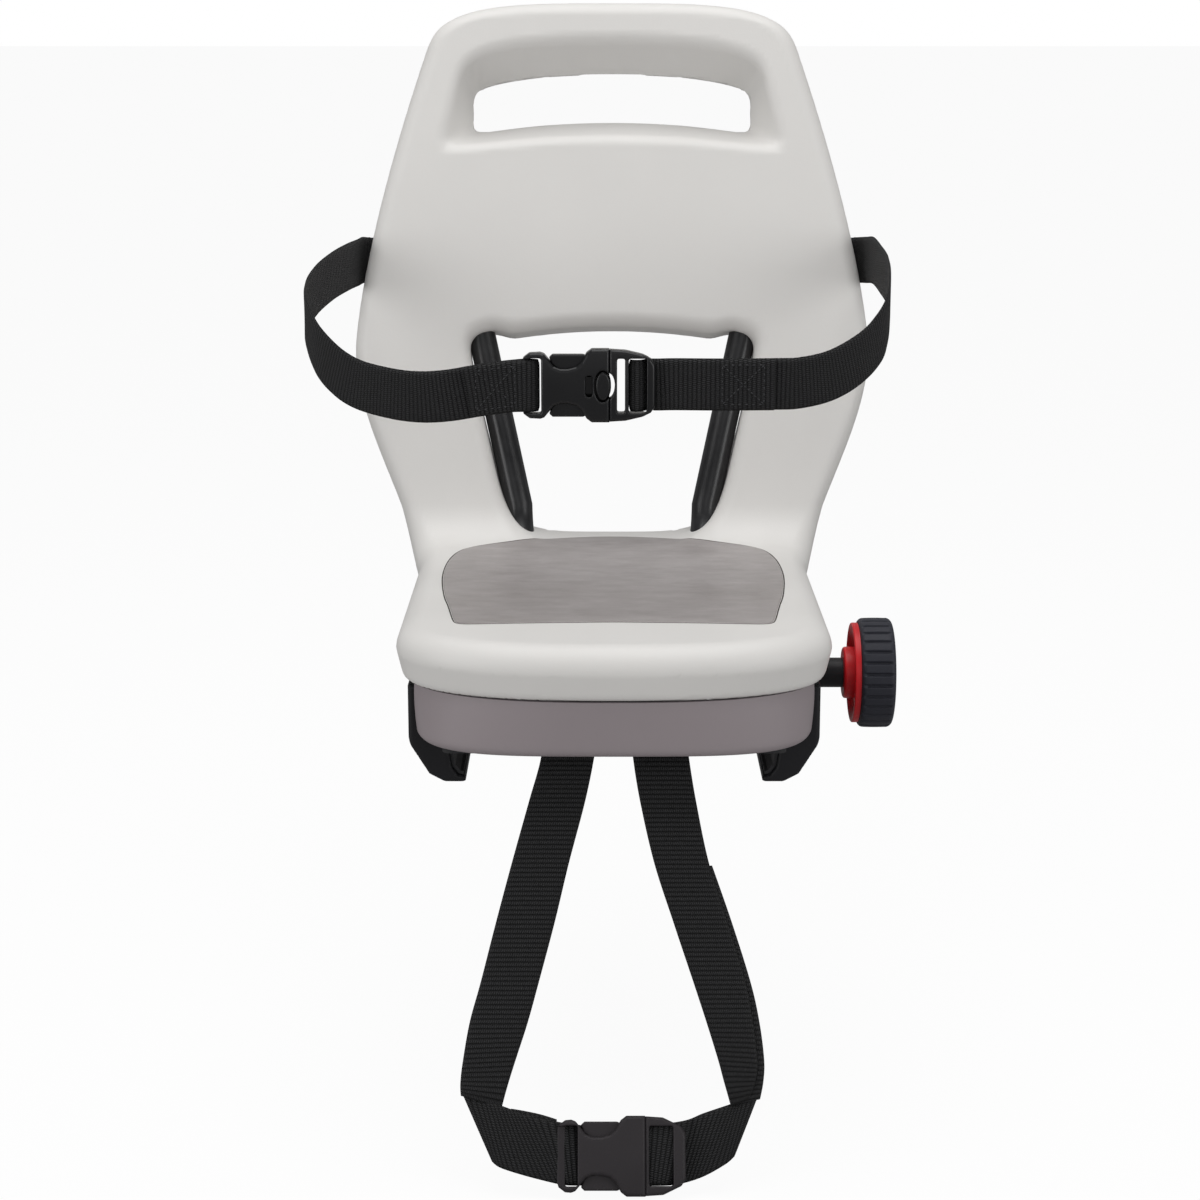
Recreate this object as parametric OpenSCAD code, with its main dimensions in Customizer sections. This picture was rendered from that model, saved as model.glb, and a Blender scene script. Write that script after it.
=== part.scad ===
// Rear child seat that clamps to a bicycle rack.
// Millimetres, +X to the rider's right, +Y towards the rear, +Z up.
// The origin lies on the rack's top plane, midway between the clamp jaws.

/* [Seat shell] */
// Width of the seat pan across its sides
seat_w = 204; // [196:1:214]
// Distance from the clamp's middle forward to the nose of the seat
nose_reach = 86; // [80:1:96]
// Length of the seat pan, from its nose to the foot of the backrest
seat_l = 240; // [232:1:260]
// Height of the seat's top over the rack
seat_h = 54; // [53:0.5:60]
// Thickness of the moulded pan
pan_t = 25; // [23:0.5:30]
// Greatest width of the backrest
back_w = 279; // [262:1:295]
// Length of the backrest, measured up its front face
back_l = 295; // [285:1:310]
// Thickness of the moulded backrest
back_t = 28; // [26:0.5:34]
// Lean of the backrest behind the vertical, in degrees
recline = 15; // [8:1:22]
// Inner radius of the bend between pan and backrest
bend_r = 26; // [20:1:34]
// Edge radius round the top of the pan
pan_edge_r = 13; // [8:0.5:15]
// Edge radius round the backrest
back_edge_r = 9; // [5:0.5:11]

/* [Windows in the backrest] */
// Width of the carrying handle's opening at its lower edge
grip_w = 154; // [130:1:160]
// Height of the carrying handle's opening at its ends
grip_h = 27; // [24:1:32]
// Distance from the seat up to the handle's opening
grip_up = 221; // [214:1:226]
// Rounding of the lip in front of the handle's opening
grip_lip = 9; // [5:0.5:10]
// Height of the lower window at its ends
window_h = 112; // [100:1:118]
// Width of the lower window at the seat
window_w = 97; // [88:1:104]
// Rounding of the lip in front of the lower window
window_lip = 6; // [3:0.5:8]

/* [Seat pad] */
// Thickness of the inlaid pad
pad_t = 2.4; // [2:0.1:4]
// Width of the pad at its widest
pad_w = 170; // [150:1:176]
// Gap left round the pad
pad_gap = 0.6; // [0.4:0.1:1]

/* [Frame tube] */
// Outer diameter of the bent steel tube
tube_d = 15; // [12:0.5:16]
// Depth of the tube's centre behind the face of the moulding
tube_depth = 14; // [12:0.5:15]

/* [Base] */
// Height of the rubber rests under the base
rest_h = 2; // [1.5:0.25:4]
// Wall and floor of the base cover
cover_t = 3; // [2.5:0.25:4]
// Distance from the clamp's middle back to the rear of the cover
cover_rear = 128; // [116:1:136]
// Thickness of the steel chassis plate
plate_t = 2; // [1.5:0.25:3]

/* [Clamp] */
// Length of each clamp jaw along the rack
jaw_l = 90; // [70:1:94]
// Distance between the hooked tips of the jaws when fully open
jaw_open = 139; // [132:1:142]
// Travel of each jaw from open to closed
jaw_travel = 18; // [10:1:20]
// Thickness of the rubber lining in the jaws
lining_t = 1.5; // [1:0.25:2.5]
// Diameter of the clamp spindle
spindle_d = 12; // [10:0.5:13]
// Height of the spindle over the rack
spindle_h = 19; // [18:0.5:20]
// Place of the spindle behind the clamp's middle
spindle_y = 8; // [0:1:14]
// Diameter of the two guide rods
rod_d = 8; // [6:0.5:9]
// Distance from the spindle to each guide rod
rod_pitch = 32; // [24:1:33]
// Radial running clearance of spindle and rods
run_gap = 0.05; // [0.02:0.01:0.1]

/* [Knob] */
// Diameter of the ribbed grip
grip_d = 53; // [46:1:60]
// Width of the ribbed grip
grip_len = 19.5; // [15:0.5:24]
// Number of grooves round the grip
grooves = 30; // [20:1:36]
// Diameter of the wheel's flange
flange_d = 48.4; // [42:0.2:50]
// Diameter of the wheel's hub
hub_d = 25; // [20:0.5:27]
// Diameter of the dust sleeve on the spindle
sleeve_d = 14.4; // [14:0.2:18]
// Length of the dust sleeve
sleeve_l = 13; // [9:0.5:16]

/* [Waist belt and lower strap] */
// Width of the webbing in the waist belt
belt_w = 25; // [20:1:26]
// Width of the webbing in the lower strap
strap_w = 26; // [24:1:28]
// Thickness of the webbing
web_t = 1.5; // [1.2:0.1:2]
// Length of the belt buckle's socket
socket_l = 41.4; // [38:0.2:46]
// Length of the belt buckle's frame that stays outside the socket
frame_l = 22; // [19:0.5:26]
// Height of both buckles across the webbing
buckle_w = 35; // [33:0.5:38]
// Thickness of both buckles
buckle_t = 10; // [9:0.5:12]
// Height of the middle of the belt buckle over the rack
belt_h = 156.7; // [150:0.5:164]
// Forward lean of the lower strap, in degrees
strap_lean = 25; // [10:1:32]
// Drop from the rack plane to the middle of the lower buckle, along the strap
strap_drop = 187; // [176:1:198]

/* [Hidden] */

shell_colour = [0.82, 0.81, 0.80];
pad_colour = [0.50, 0.47, 0.46];
cover_colour = [0.66, 0.64, 0.64];
black = [0.08, 0.08, 0.09];
rubber = [0.22, 0.22, 0.23];
steel = [0.62, 0.63, 0.65];
brass = [0.75, 0.60, 0.30];
red = [0.78, 0.06, 0.08];
grip_grey = [0.22, 0.23, 0.25];
strap_grey = [0.24, 0.23, 0.25];

// Smooth fillets of the exact round parts
$fn = 48;
eps = 0.01;

// Joints between solids: what lies face to face keeps this much air
seat_gap = 0.2;
// A screw in its hole
hole_gap = 0.2;

// Levels and faces that several parts share
pan_under = seat_h - pan_t;
plate_z = pan_under - plate_t;
jaw_top = plate_z - 0.4;
jaw_face = jaw_open / 2 + 26.5;
jaw_block_in = jaw_open / 2 - 3.5;
nut_w = 18;
nut_l = 10;
nut_in = 4;

// Blends and small helpers
function mix(a, b, u) = a + (b - a) * u;
function clamp01(u) = min(1, max(0, u));
function smooth(u) = let (v = clamp01(u)) v * v * (3 - 2 * v);
function bow(v, p) = sign(v) * pow(abs(v), p);
function unit(v) = v / norm(v);

// The shell is laid out flat, then bent: t runs up the face from the nose to the
// top, d goes in behind the face. Its bend turns the pan into the backrest.
bend_a = 90 - recline;
bend_cut = bend_r * tan(bend_a / 2);
bend_len = bend_r * bend_a * PI / 180;
t_bend = seat_l - bend_cut;
t_back = t_bend + bend_len;
y_bend = t_bend - nose_reach;
y_foot = seat_l - nose_reach;

// A point of the flat layout carried round the bend
function fold(x, t, d) =
    t < t_bend ? [x, t - nose_reach, seat_h - d] :
    t < t_back ?
        let (a = (t - t_bend) / bend_r * 180 / PI, r = bend_r + d)
        [x, y_bend + r * sin(a), seat_h + bend_r - r * cos(a)] :
        let (q = t - t_back, r = bend_r + d)
        [x, y_bend + r * sin(bend_a) + q * cos(bend_a),
         seat_h + bend_r - r * cos(bend_a) + q * sin(bend_a)];

// The same for a height s up the backrest's own plane
function up_back(s) = s - bend_cut + t_back;
function on_back(x, s, d) =
    [x, y_foot + s * sin(recline) + d * cos(recline),
     seat_h + s * cos(recline) - d * sin(recline)];

// Outline of the shell, right half, from the nose (x = 0) to the top (x = 0)
nose_l = 60;
nose_power = 2 / 2.5;
top_l = 29;
top_power = 2 / 3.5;
widest_s = 105;
t_rise = t_bend - 19;
t_wide = up_back(widest_s);
t_top = up_back(back_l) - top_l;
back_taper = 0.026;
taper_power = 1.43;

function half_w(t) =
    t < t_wide ?
        mix(seat_w, back_w, smooth((t - t_rise) / (t_wide - t_rise))) / 2 :
        back_w / 2 - back_taper * pow(t - t_wide, taper_power);

nose_pts = [for (k = [0 : 12]) let (a = k * 7.5)
    [seat_w / 2 * pow(sin(a), nose_power), nose_l * (1 - pow(cos(a), nose_power))]];
pan_steps = 4;
rise_steps = 24;
back_steps = 11;
side_pts = concat(
    [for (k = [1 : pan_steps]) let (t = mix(nose_l, t_rise, k / pan_steps)) [half_w(t), t]],
    [for (k = [1 : rise_steps]) let (t = mix(t_rise, t_wide, k / rise_steps)) [half_w(t), t]],
    [for (k = [1 : back_steps]) let (t = mix(t_wide, t_top, k / back_steps)) [half_w(t), t]]);
top_pts = [for (k = [1 : 10]) let (a = k * 9, t = t_top + top_l * pow(sin(a), top_power))
    [half_w(t) * pow(max(0, cos(a)), top_power), t]];
shell_pts = concat(nose_pts, side_pts, top_pts);
n_shell = len(shell_pts);

// Outward normal of the outline at point i
function out_dir(pts, i) =
    let (a = pts[max(0, i - 1)], b = pts[min(len(pts) - 1, i + 1)])
    i == 0 ? [0, -1] : i == len(pts) - 1 ? [0, 1] : unit([b[1] - a[1], a[0] - b[0]]);

// Section through the shell's edge: how far in from the outline, how deep behind the face
pan_tuck = 4;
pan_tuck_h = 12;
face_rings = 5;
rear_rings = 3;
shell_rings = face_rings + rear_rings + 2;
function edge(k, u) =
    k <= face_rings ?
        let (a = 90 * k / face_rings, r = mix(pan_edge_r, back_edge_r, u))
        [r * (1 - sin(a)), r * (1 - cos(a))] :
        let (a = 90 * (k - face_rings - 1) / rear_rings,
             h = mix(pan_t, back_t, u),
             rise = mix(pan_tuck_h, back_edge_r, u),
             inset = mix(pan_tuck, back_edge_r, u))
        [inset * (1 - cos(a)), h - rise + rise * sin(a)];

function shell_point(i, k, side) =
    let (p = shell_pts[i],
         e = edge(k, smooth((p[1] - t_bend) / bend_len)),
         q = p - e[0] * out_dir(shell_pts, i))
    fold(side * q[0], q[1], e[1]);

function shell_ring(k) = concat(
    [for (i = [0 : n_shell - 1]) shell_point(i, k, 1)],
    [for (i = [n_shell - 2 : -1 : 1]) shell_point(i, k, -1)]);

// Solid through a list of rings with equal counts of points, ends closed flat
module loft(rings) {
    n = len(rings[0]);
    m = len(rings);
    polyhedron(
        points = [for (r = rings) each r],
        faces = concat(
            [[for (i = [n - 1 : -1 : 0]) i]],
            [for (k = [0 : m - 2], i = [0 : n - 1]) let (j = (i + 1) % n)
                [k * n + i, k * n + j, (k + 1) * n + j, (k + 1) * n + i]],
            [[for (i = [0 : n - 1]) (m - 1) * n + i]]),
        convexity = 10);
}

// The bent shell: side walls ring by ring, faces as strips straight across
module shell_blank() {
    n = 2 * n_shell - 2;
    last = shell_rings - 1;
    function left(i) = (n - i) % n;
    polyhedron(
        points = [for (k = [0 : last]) each shell_ring(k)],
        faces = concat(
            [for (k = [0 : last - 1], i = [0 : n - 1]) let (j = (i + 1) % n)
                [k * n + i, k * n + j, (k + 1) * n + j, (k + 1) * n + i]],
            [for (i = [0 : n_shell - 2])
                i == 0 ? [0, left(1), 1] :
                i == n_shell - 2 ? [i, left(i), i + 1] :
                [i, left(i), left(i + 1), i + 1]],
            [for (i = [0 : n_shell - 2]) let (o = last * n)
                i == 0 ? [o, o + 1, o + left(1)] :
                i == n_shell - 2 ? [o + i, o + i + 1, o + left(i)] :
                [o + i, o + i + 1, o + left(i + 1), o + left(i)]]),
        convexity = 10);
}

// Four-sided outline with rounded corners and bowed ends: u runs across, v along
function panel(w0, w1, bulge, v0, v1, arch0, arch1, power, count) =
    [for (i = [0 : count - 1])
        let (a = 360 * i / count,
             u = bow(cos(a), 2 / power),
             v = bow(sin(a), 2 / power),
             m = (v + 1) / 2)
        [u * (mix(w0, w1, m) + bulge * (1 - v * v)),
         mix(v0, v1, m) + mix(arch0, arch1, m) * (1 - u * u)]];

// Growth of a lip of radius r at depth d behind the face, and the depths to cut it at
function lip(r, d) = d >= r ? 0 : d <= 0 ? r : r - sqrt(r * r - (r - d) * (r - d));
function lip_depths(r, rear_r) = concat(
    [-2], [for (k = [0 : 4]) r * (1 - cos(22.5 * k))],
    [for (k = [4 : -1 : 0]) back_t - rear_r * (1 - cos(22.5 * k))], [back_t + 2]);

// The carrying handle's opening
grip_rear_lip = 5;
grip_side = 0.14;
grip_arch_top = 9.5;
grip_arch_bot = 7.5;
function grip_ring(d) =
    let (g = lip(grip_lip, d) + lip(grip_rear_lip, back_t - d),
         w = grip_w / 2)
    [for (p = panel(w + g, w - grip_side * 2 * grip_h + g, 0, grip_up - g,
                    grip_up + grip_h + g + 7.5, grip_arch_bot, grip_arch_top, 6, 64))
        on_back(p[0], p[1], d)];

// The lower window: its sill is level with the pan, so it climbs as it goes back
window_flare = 0.2116;
window_arch = 5.5;
window_rear_lip = 5;
sill_front = -34;
function window_ring(d) =
    let (g = lip(window_lip, d) + lip(window_rear_lip, back_t - d) - 1.1 * min(0, d),
         sill = d * tan(recline),
         w = window_w / 2)
    [for (p = panel(w + g, w + window_flare * window_h + g, 0, sill,
                    window_h + g, 0, window_arch, 7, 64))
        on_back(p[0], p[1], d)];

module back_windows() {
    loft([for (d = lip_depths(grip_lip, grip_rear_lip)) grip_ring(d)]);
    loft([for (d = concat([sill_front, sill_front / 2],
                          lip_depths(window_lip, window_rear_lip), [back_t + 30]))
        window_ring(d)]);
}

// The pad's outline on the pan, and its pocket in the moulding
pad_front = -38;
pad_rear_in = 19;
pad_bulge = 10;
function pad_outline(grow) =
    panel(pad_w / 2 - pad_bulge - 1 + grow, pad_w / 2 - pad_bulge + 1 + grow, pad_bulge,
          pad_front - grow, y_foot - pad_rear_in + grow, 5, 25, 6, 64);

// The tube's route in the flat layout: down both sides of the lower window and
// forward inside the pan, joined by a crossbar above the window
leg_x = 46.5;
leg_flare = 0.218;
bar_s = 192;
bar_r = 30;
tube_front_t = 62;
bar_half = leg_x + leg_flare * bar_s;
leg_lean = atan(leg_flare);
corner_a = 90 + leg_lean;
corner_cut = bar_r * tan(corner_a / 2);
leg_top_s = bar_s - corner_cut * cos(leg_lean);
corner_y = bar_s - bar_r;
corner_x = leg_x + leg_flare * leg_top_s - bar_r * cos(leg_lean);
tube_half = concat(
    [for (t = [tube_front_t, (tube_front_t + t_bend) / 2, t_bend]) [leg_x, t]],
    [for (k = [1 : 8]) let (t = mix(t_bend, t_back, k / 8))
        [leg_x + leg_flare * bend_cut * smooth(k / 8), t]],
    [for (k = [1 : 3]) let (s = mix(bend_cut, leg_top_s, k / 3)) [leg_x + leg_flare * s, up_back(s)]],
    [for (k = [1 : 6]) let (a = -leg_lean + corner_a * k / 6)
        [corner_x + bar_r * cos(a), up_back(corner_y + bar_r * sin(a))]]);
tube_route = concat(
    tube_half,
    [for (i = [len(tube_half) - 1 : -1 : 0]) [-tube_half[i][0], tube_half[i][1]]]);

// Tube of radius r carried along points in space
function ring_at(path, i, r, sides) =
    let (a = path[max(0, i - 1)], b = path[min(len(path) - 1, i + 1)],
         along = unit(b - a),
         across = unit(cross(along, abs(along[0]) > 0.9 ? [0, 0, 1] : [1, 0, 0])),
         over = cross(across, along))
    [for (k = [0 : sides - 1]) let (q = 360 * k / sides)
        path[i] + r * (cos(q) * across + sin(q) * over)];

tube_space = [for (p = tube_route) fold(p[0], p[1], tube_depth)];
tube_plane_n = [0, -sin(bend_a), cos(bend_a)];

// Each ring of the tube keeps the moulding's own normal, so that it never twists
function tube_normal(t) =
    let (a = t < t_bend ? 0 : t > t_back ? bend_a : (t - t_bend) / bend_r * 180 / PI)
    [0, -sin(a), cos(a)];
function tube_ring(i, r) =
    let (a = tube_space[max(0, i - 1)],
         b = tube_space[min(len(tube_space) - 1, i + 1)],
         along = unit(b - a),
         n = tube_normal(tube_route[i][1]),
         over = unit(n - (n * along) * along),
         across = cross(along, over))
    [for (k = [0 : 15]) let (q = 22.5 * k)
        tube_space[i] + r * (cos(q) * across + sin(q) * over)];

module tube_sweep(r) {
    loft([for (i = [0 : len(tube_space) - 1]) tube_ring(i, r)]);
}

// Screws that hold the chassis plate up against the moulding
screw_x = 66;
screw_ys = [-56, 60, 96];
module at_chassis_screws() {
    for (x = [-screw_x, screw_x], y = screw_ys)
        translate([x, y, 0])
            children();
}

// Screws of the bridge that holds the belt on the backrest
bridge_s = 157.4;
bridge_half = 17.5;
module on_back_place(x, s, d) {
    translate(on_back(x, s, d))
        rotate([-90 - recline, 0, 0])
            children();
}

// One-piece moulding of pan and backrest
module seat_shell() {
    color(shell_colour)
        difference() {
            shell_blank();
            back_windows();
            translate([0, 0, seat_h - pad_t - 0.1])
                linear_extrude(pad_t + 4)
                    polygon(pad_outline(pad_gap));
            tube_sweep(tube_d / 2 + seat_gap);
            at_chassis_screws()
                translate([0, 0, pan_under - 1])
                    cylinder(d = screw_d + 2 * hole_gap, h = screw_bite + 1.5, $fn = 16);
            for (s = [-bridge_half, bridge_half])
                on_back_place(0, bridge_s + s, back_t - screw_bite)
                    cylinder(d = screw_d + 2 * hole_gap, h = screw_bite + 2, $fn = 16);
        }
}

// Soft inlay in the pan
module seat_pad() {
    color(pad_colour)
        translate([0, 0, seat_h - pad_t])
            linear_extrude(pad_t)
                polygon(pad_outline(0));
}

// Steel tube moulded into the shell, bare in the lower window
module frame_tube() {
    color(black)
        tube_sweep(tube_d / 2);
}

// The flat steel plate under the pan carries the clamp
plate_half = 78;
plate_front = -62;
plate_rear = 106;
screw_d = 5;
screw_head_d = 9.5;
screw_head_h = 2.5;
screw_bite = 11;

module pan_head_screw(grip) {
    translate([0, 0, -screw_head_h])
        cylinder(d = screw_head_d, h = screw_head_h);
    translate([0, 0, -eps])
        cylinder(d = screw_d, h = grip + eps);
}

module chassis_plate() {
    color(steel)
        translate([0, 0, plate_z])
            linear_extrude(plate_t)
                difference() {
                    translate([0, plate_front])
                        rounded_sheet(2 * plate_half, plate_rear - plate_front, 14);
                    for (x = [-screw_x, screw_x], y = screw_ys)
                        translate([x, y])
                            circle(d = screw_d + 2 * hole_gap);
                    for (x = bracket_xs, y = bracket_screw_ys)
                        translate([x, y])
                            circle(d = screw_d + 2 * hole_gap);
                    for (p = cover_screw_at)
                        translate(p)
                            circle(d = screw_d + 2 * hole_gap);
                    for (x = [-34, 34])
                        translate([x, 86])
                            circle(d = 26);
                }
}

// Rectangle w by l, centred on X and starting at Y = 0, with rounded corners
module rounded_sheet(w, l, r) {
    hull()
        for (x = [-w / 2 + r, w / 2 - r], y = [r, l - r])
            translate([x, y])
                circle(r = r);
}

module chassis_screws() {
    color(steel)
        at_chassis_screws()
            translate([0, 0, plate_z])
                pan_head_screw(plate_t + screw_bite);
}

// The cover is a tray that tapers down from the parting line
part_gap = 0.8;
cover_top = pan_under - part_gap;
cover_under = rest_h;
cover_inset_top = 5;
cover_taper = 9;
cover_front_taper = 4;
cover_edge_r = 6;
cover_corner = 60;
cover_rear_corner = 38;
function cover_outline(side_in, front_in) =
    let (a = seat_w / 2 - side_in,
         f = -nose_reach + front_in,
         r = cover_rear - front_in,
         quarter = [for (k = [0 : 10]) 9 * k],
         right = concat(
            [for (q = quarter)
                [a * pow(sin(q), nose_power), f + cover_corner * (1 - pow(cos(q), nose_power))]],
            [for (q = quarter) let (c = pow(max(0, cos(q)), nose_power))
                [a * c, r - cover_rear_corner * (1 - pow(sin(q), nose_power))]]))
    concat(right, [for (i = [len(right) - 2 : -1 : 1]) [-right[i][0], right[i][1]]]);

// A ring of the cover at height z, drawn in by extra on all sides
function cover_ring(z, extra) =
    let (u = clamp01((cover_top - z) / (cover_top - cover_under)),
         low = max(0, cover_under + cover_edge_r - z),
         turn = cover_edge_r - sqrt(max(0, cover_edge_r * cover_edge_r - low * low)))
    [for (p = cover_outline(cover_inset_top + cover_taper * u * u * 0.6 + cover_taper * 0.4 * u + turn + extra,
                            4.2 + cover_front_taper * u + turn * 0.7 + extra))
        [p[0], p[1], z]];

module cover_solid(floor_z, top_z, extra) {
    zs = concat([for (k = [0 : 3]) floor_z + cover_edge_r * (1 - cos(30 * k))],
                [mix(floor_z + cover_edge_r, top_z, 0.5), top_z]);
    loft([for (i = [len(zs) - 1 : -1 : 0]) cover_ring(zs[i], extra)]);
}

// Openings of the tray: a side bay for each jaw, two slots for the strap
bay_gap = 1.5;
bay_in = jaw_open / 2 - jaw_travel - 6;
bay_top = cover_top + 1;
strap_slot_x = 21;
strap_slot_w = strap_w + 4;
strap_slot_l = 7;
strap_y = -50;
anchor_d = 6;
anchor_half = 41;
anchor_z = 14;
loop_gap = 0.15;
strap_exit = strap_y - anchor_d / 2 - loop_gap - web_t / 2;

module cover_openings() {
    for (m = [0, 1])
        mirror([m, 0, 0])
            translate([bay_in, -jaw_l / 2 - bay_gap, -1])
                cube([seat_w, jaw_l + 2 * bay_gap, bay_top + 1]);
    for (x = [-strap_slot_x, strap_slot_x])
        translate([x - strap_slot_w / 2, strap_exit - strap_slot_l / 2, -1])
            cube([strap_slot_w, strap_slot_l, cover_t + cover_under + 2]);
}

// Posts of the cover reach up to the plate and take its screws
post_d = 14;
cover_screw_at = [[-52, -54], [52, -54], [-52, 88], [52, 88]];
post_seat = 3.5;

module base_cover() {
    color(cover_colour)
        difference() {
            union() {
                difference() {
                    cover_solid(cover_under, cover_top, 0);
                    cover_solid(cover_under + cover_t, cover_top + 2, cover_t);
                }
                for (p = cover_screw_at)
                    translate([p[0], p[1], cover_under + 1])
                        cylinder(d = post_d, h = plate_z - seat_gap - cover_under - 1, $fn = 32);
                for (x = [-anchor_half, anchor_half])
                    translate([x - 3, strap_y - 6, cover_under + 1])
                        cube([6, 12, anchor_z + 4 - cover_under]);
            }
            cover_openings();
            for (p = cover_screw_at)
                translate([p[0], p[1], -1]) {
                    cylinder(d = screw_d + 2 * hole_gap, h = 60, $fn = 24);
                    cylinder(d = screw_head_d + 1, h = cover_under + post_seat + 1, $fn = 32);
                }
            translate([-anchor_half - 4, strap_y, anchor_z])
                rotate([0, 90, 0])
                    cylinder(d = anchor_d + 2 * hole_gap, h = 2 * anchor_half + 8, $fn = 24);
        }
}

module cover_screws() {
    color(steel)
        for (p = cover_screw_at)
            translate([p[0], p[1], cover_under + post_seat])
                pan_head_screw(plate_z + plate_t - cover_under - post_seat - 0.5);
}

// Steel pin inside the cover that the lower strap is looped over
module strap_anchor_bar() {
    color(steel)
        translate([-anchor_half - 3, strap_y, anchor_z])
            rotate([0, 90, 0])
                cylinder(d = anchor_d, h = 2 * anchor_half + 6);
}

// Rubber rests that sit on the rack
rest_w = 34;
module rest_pads() {
    color(rubber)
        for (x = [-62, 62], y = [[-66, 12], [56, 22]])
            translate([x, y[0], 0])
                linear_extrude(rest_h - seat_gap / 2)
                    rounded_sheet(rest_w, y[1], 4);
}

// Brackets that carry spindle and rods under the plate
bracket_w = 12;
bracket_gap = 12;
bracket_xs = [-(bracket_gap + bracket_w) / 2, (bracket_gap + bracket_w) / 2];
bracket_low = 6;
bracket_screw_ys = [spindle_y - 16, spindle_y + 16];
bracket_len = 2 * rod_pitch + 22;
bore_d = spindle_d + 2 * run_gap;

module bearing_bracket(x) {
    color(black)
        difference() {
            translate([x, spindle_y - bracket_len / 2, bracket_low])
                rotate([90, 0, 90])
                    translate([0, 0, -bracket_w / 2])
                        linear_extrude(bracket_w)
                            bracket_side();
            translate([x - bracket_w, spindle_y, spindle_h])
                rotate([0, 90, 0])
                    cylinder(d = bore_d, h = 2 * bracket_w);
            for (s = [-1, 1])
                translate([x - bracket_w, spindle_y + s * rod_pitch, spindle_h])
                    rotate([0, 90, 0])
                        cylinder(d = rod_d + 2 * run_gap, h = 2 * bracket_w);
            for (y = bracket_screw_ys)
                translate([x, y, 0]) {
                    cylinder(d = screw_d + 2 * hole_gap, h = 40);
                    cylinder(d = screw_head_d + 0.6, h = bracket_low + 3);
                }
        }
}

// Side of a bracket: a bar with its lower corners cut away
module bracket_side() {
    h = plate_z - bracket_low;
    c = 7;
    polygon([[c, 0], [bracket_len - c, 0], [bracket_len, c], [bracket_len, h], [0, h], [0, c]]);
}

module bearing_bracket_left() {
    bearing_bracket(bracket_xs[0]);
}

module bearing_bracket_right() {
    bearing_bracket(bracket_xs[1]);
}

module bracket_screws() {
    color(steel)
        for (x = bracket_xs, y = bracket_screw_ys)
            translate([x, y, bracket_low + 3])
                pan_head_screw(plate_z + plate_t - bracket_low - 3.5);
}

// Washers on both sides of the spindle's collar
collar_d = 15;
washer_t = 1.5;
collar_l = bracket_gap - 2 * washer_t - 4 * run_gap;
module thrust_washers() {
    color(brass)
        for (s = [-1, 1])
            translate([s * (bracket_gap / 2 - washer_t / 2), spindle_y, spindle_h])
                rotate([0, 90, 0])
                    difference() {
                        cylinder(d = collar_d - 0.5, h = washer_t - 2 * run_gap, center = true);
                        cylinder(d = spindle_d + 0.6, h = 10, center = true);
                    }
}

rod_half = jaw_face - 14;
module guide_rods() {
    color(steel)
        for (s = [-1, 1])
            translate([-rod_half, spindle_y + s * rod_pitch, spindle_h])
                rotate([0, 90, 0])
                    cylinder(d = rod_d, h = 2 * rod_half);
}

// Spindle: left-hand thread on one side, right-hand on the other, collar between
spindle_left = jaw_block_in + nut_in + nut_l + 3;
knob_in = jaw_face + 2 + sleeve_l;
stub_d = 8;
stub_l = 15;
module spindle() {
    color(steel)
        translate([0, spindle_y, spindle_h])
            rotate([0, 90, 0])
                difference() {
                    rotate_extrude()
                        polygon([
                            [0, -spindle_left], [spindle_d / 2 - 1, -spindle_left],
                            [spindle_d / 2, -spindle_left + 1],
                            [spindle_d / 2, -collar_l / 2], [collar_d / 2, -collar_l / 2],
                            [collar_d / 2, collar_l / 2], [spindle_d / 2, collar_l / 2],
                            [spindle_d / 2, knob_in], [stub_d / 2, knob_in],
                            [stub_d / 2, knob_in + stub_l], [0, knob_in + stub_l]]);
                    translate([0, 0, knob_in + stub_l - 10])
                        cylinder(d = knob_screw_d + 2 * hole_gap, h = 12);
                }
}

// Black sleeve that keeps grit off the thread between jaw and knob
module spindle_sleeve() {
    color(black)
        translate([knob_in - sleeve_l, spindle_y, spindle_h])
            rotate([0, 90, 0])
                difference() {
                    cylinder(d = sleeve_d, h = sleeve_l - 0.1);
                    translate([0, 0, -1])
                        cylinder(d = spindle_d + 0.2, h = sleeve_l + 2);
                }
}

// Knob: a red spoked wheel inside a ribbed grip
flange_in = 4;
flange_t = 3;
rim_d = flange_d - 5;
rim_wall = 3;
web_x = 13;
wheel_l = 22;
spokes = 6;
knob_screw_d = 4;
module knob_wheel() {
    color(red)
        translate([knob_in, spindle_y, spindle_h])
            rotate([0, 90, 0])
                difference() {
                    union() {
                        rotate_extrude()
                            polygon([
                                [0, 0], [hub_d / 2 - 0.6, 0], [hub_d / 2, 0.6],
                                [hub_d / 2, wheel_l], [0, wheel_l]]);
                        rotate_extrude()
                            polygon([
                                [rim_d / 2 - rim_wall, flange_in], [flange_d / 2 - 0.5, flange_in],
                                [flange_d / 2, flange_in + 0.5], [flange_d / 2, flange_in + flange_t],
                                [rim_d / 2, flange_in + flange_t], [rim_d / 2, flange_in + grip_len],
                                [rim_d / 2 - rim_wall, flange_in + grip_len]]);
                        for (k = [0 : spokes - 1])
                            rotate([0, 0, k * 360 / spokes])
                                translate([hub_d / 2 - 1, -1.5, flange_in + 4])
                                    cube([(rim_d - hub_d) / 2 - rim_wall + 2, 3, web_x]);
                    }
                    translate([0, 0, -1])
                        cylinder(d = stub_d + 0.1, h = stub_l + 1.2);
                    cylinder(d = knob_screw_d + 2 * hole_gap, h = wheel_l + 1);
                    translate([0, 0, wheel_l - cap_seat])
                        cylinder(d = cap_d + 0.4, h = cap_seat + 1);
                }
}

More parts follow.
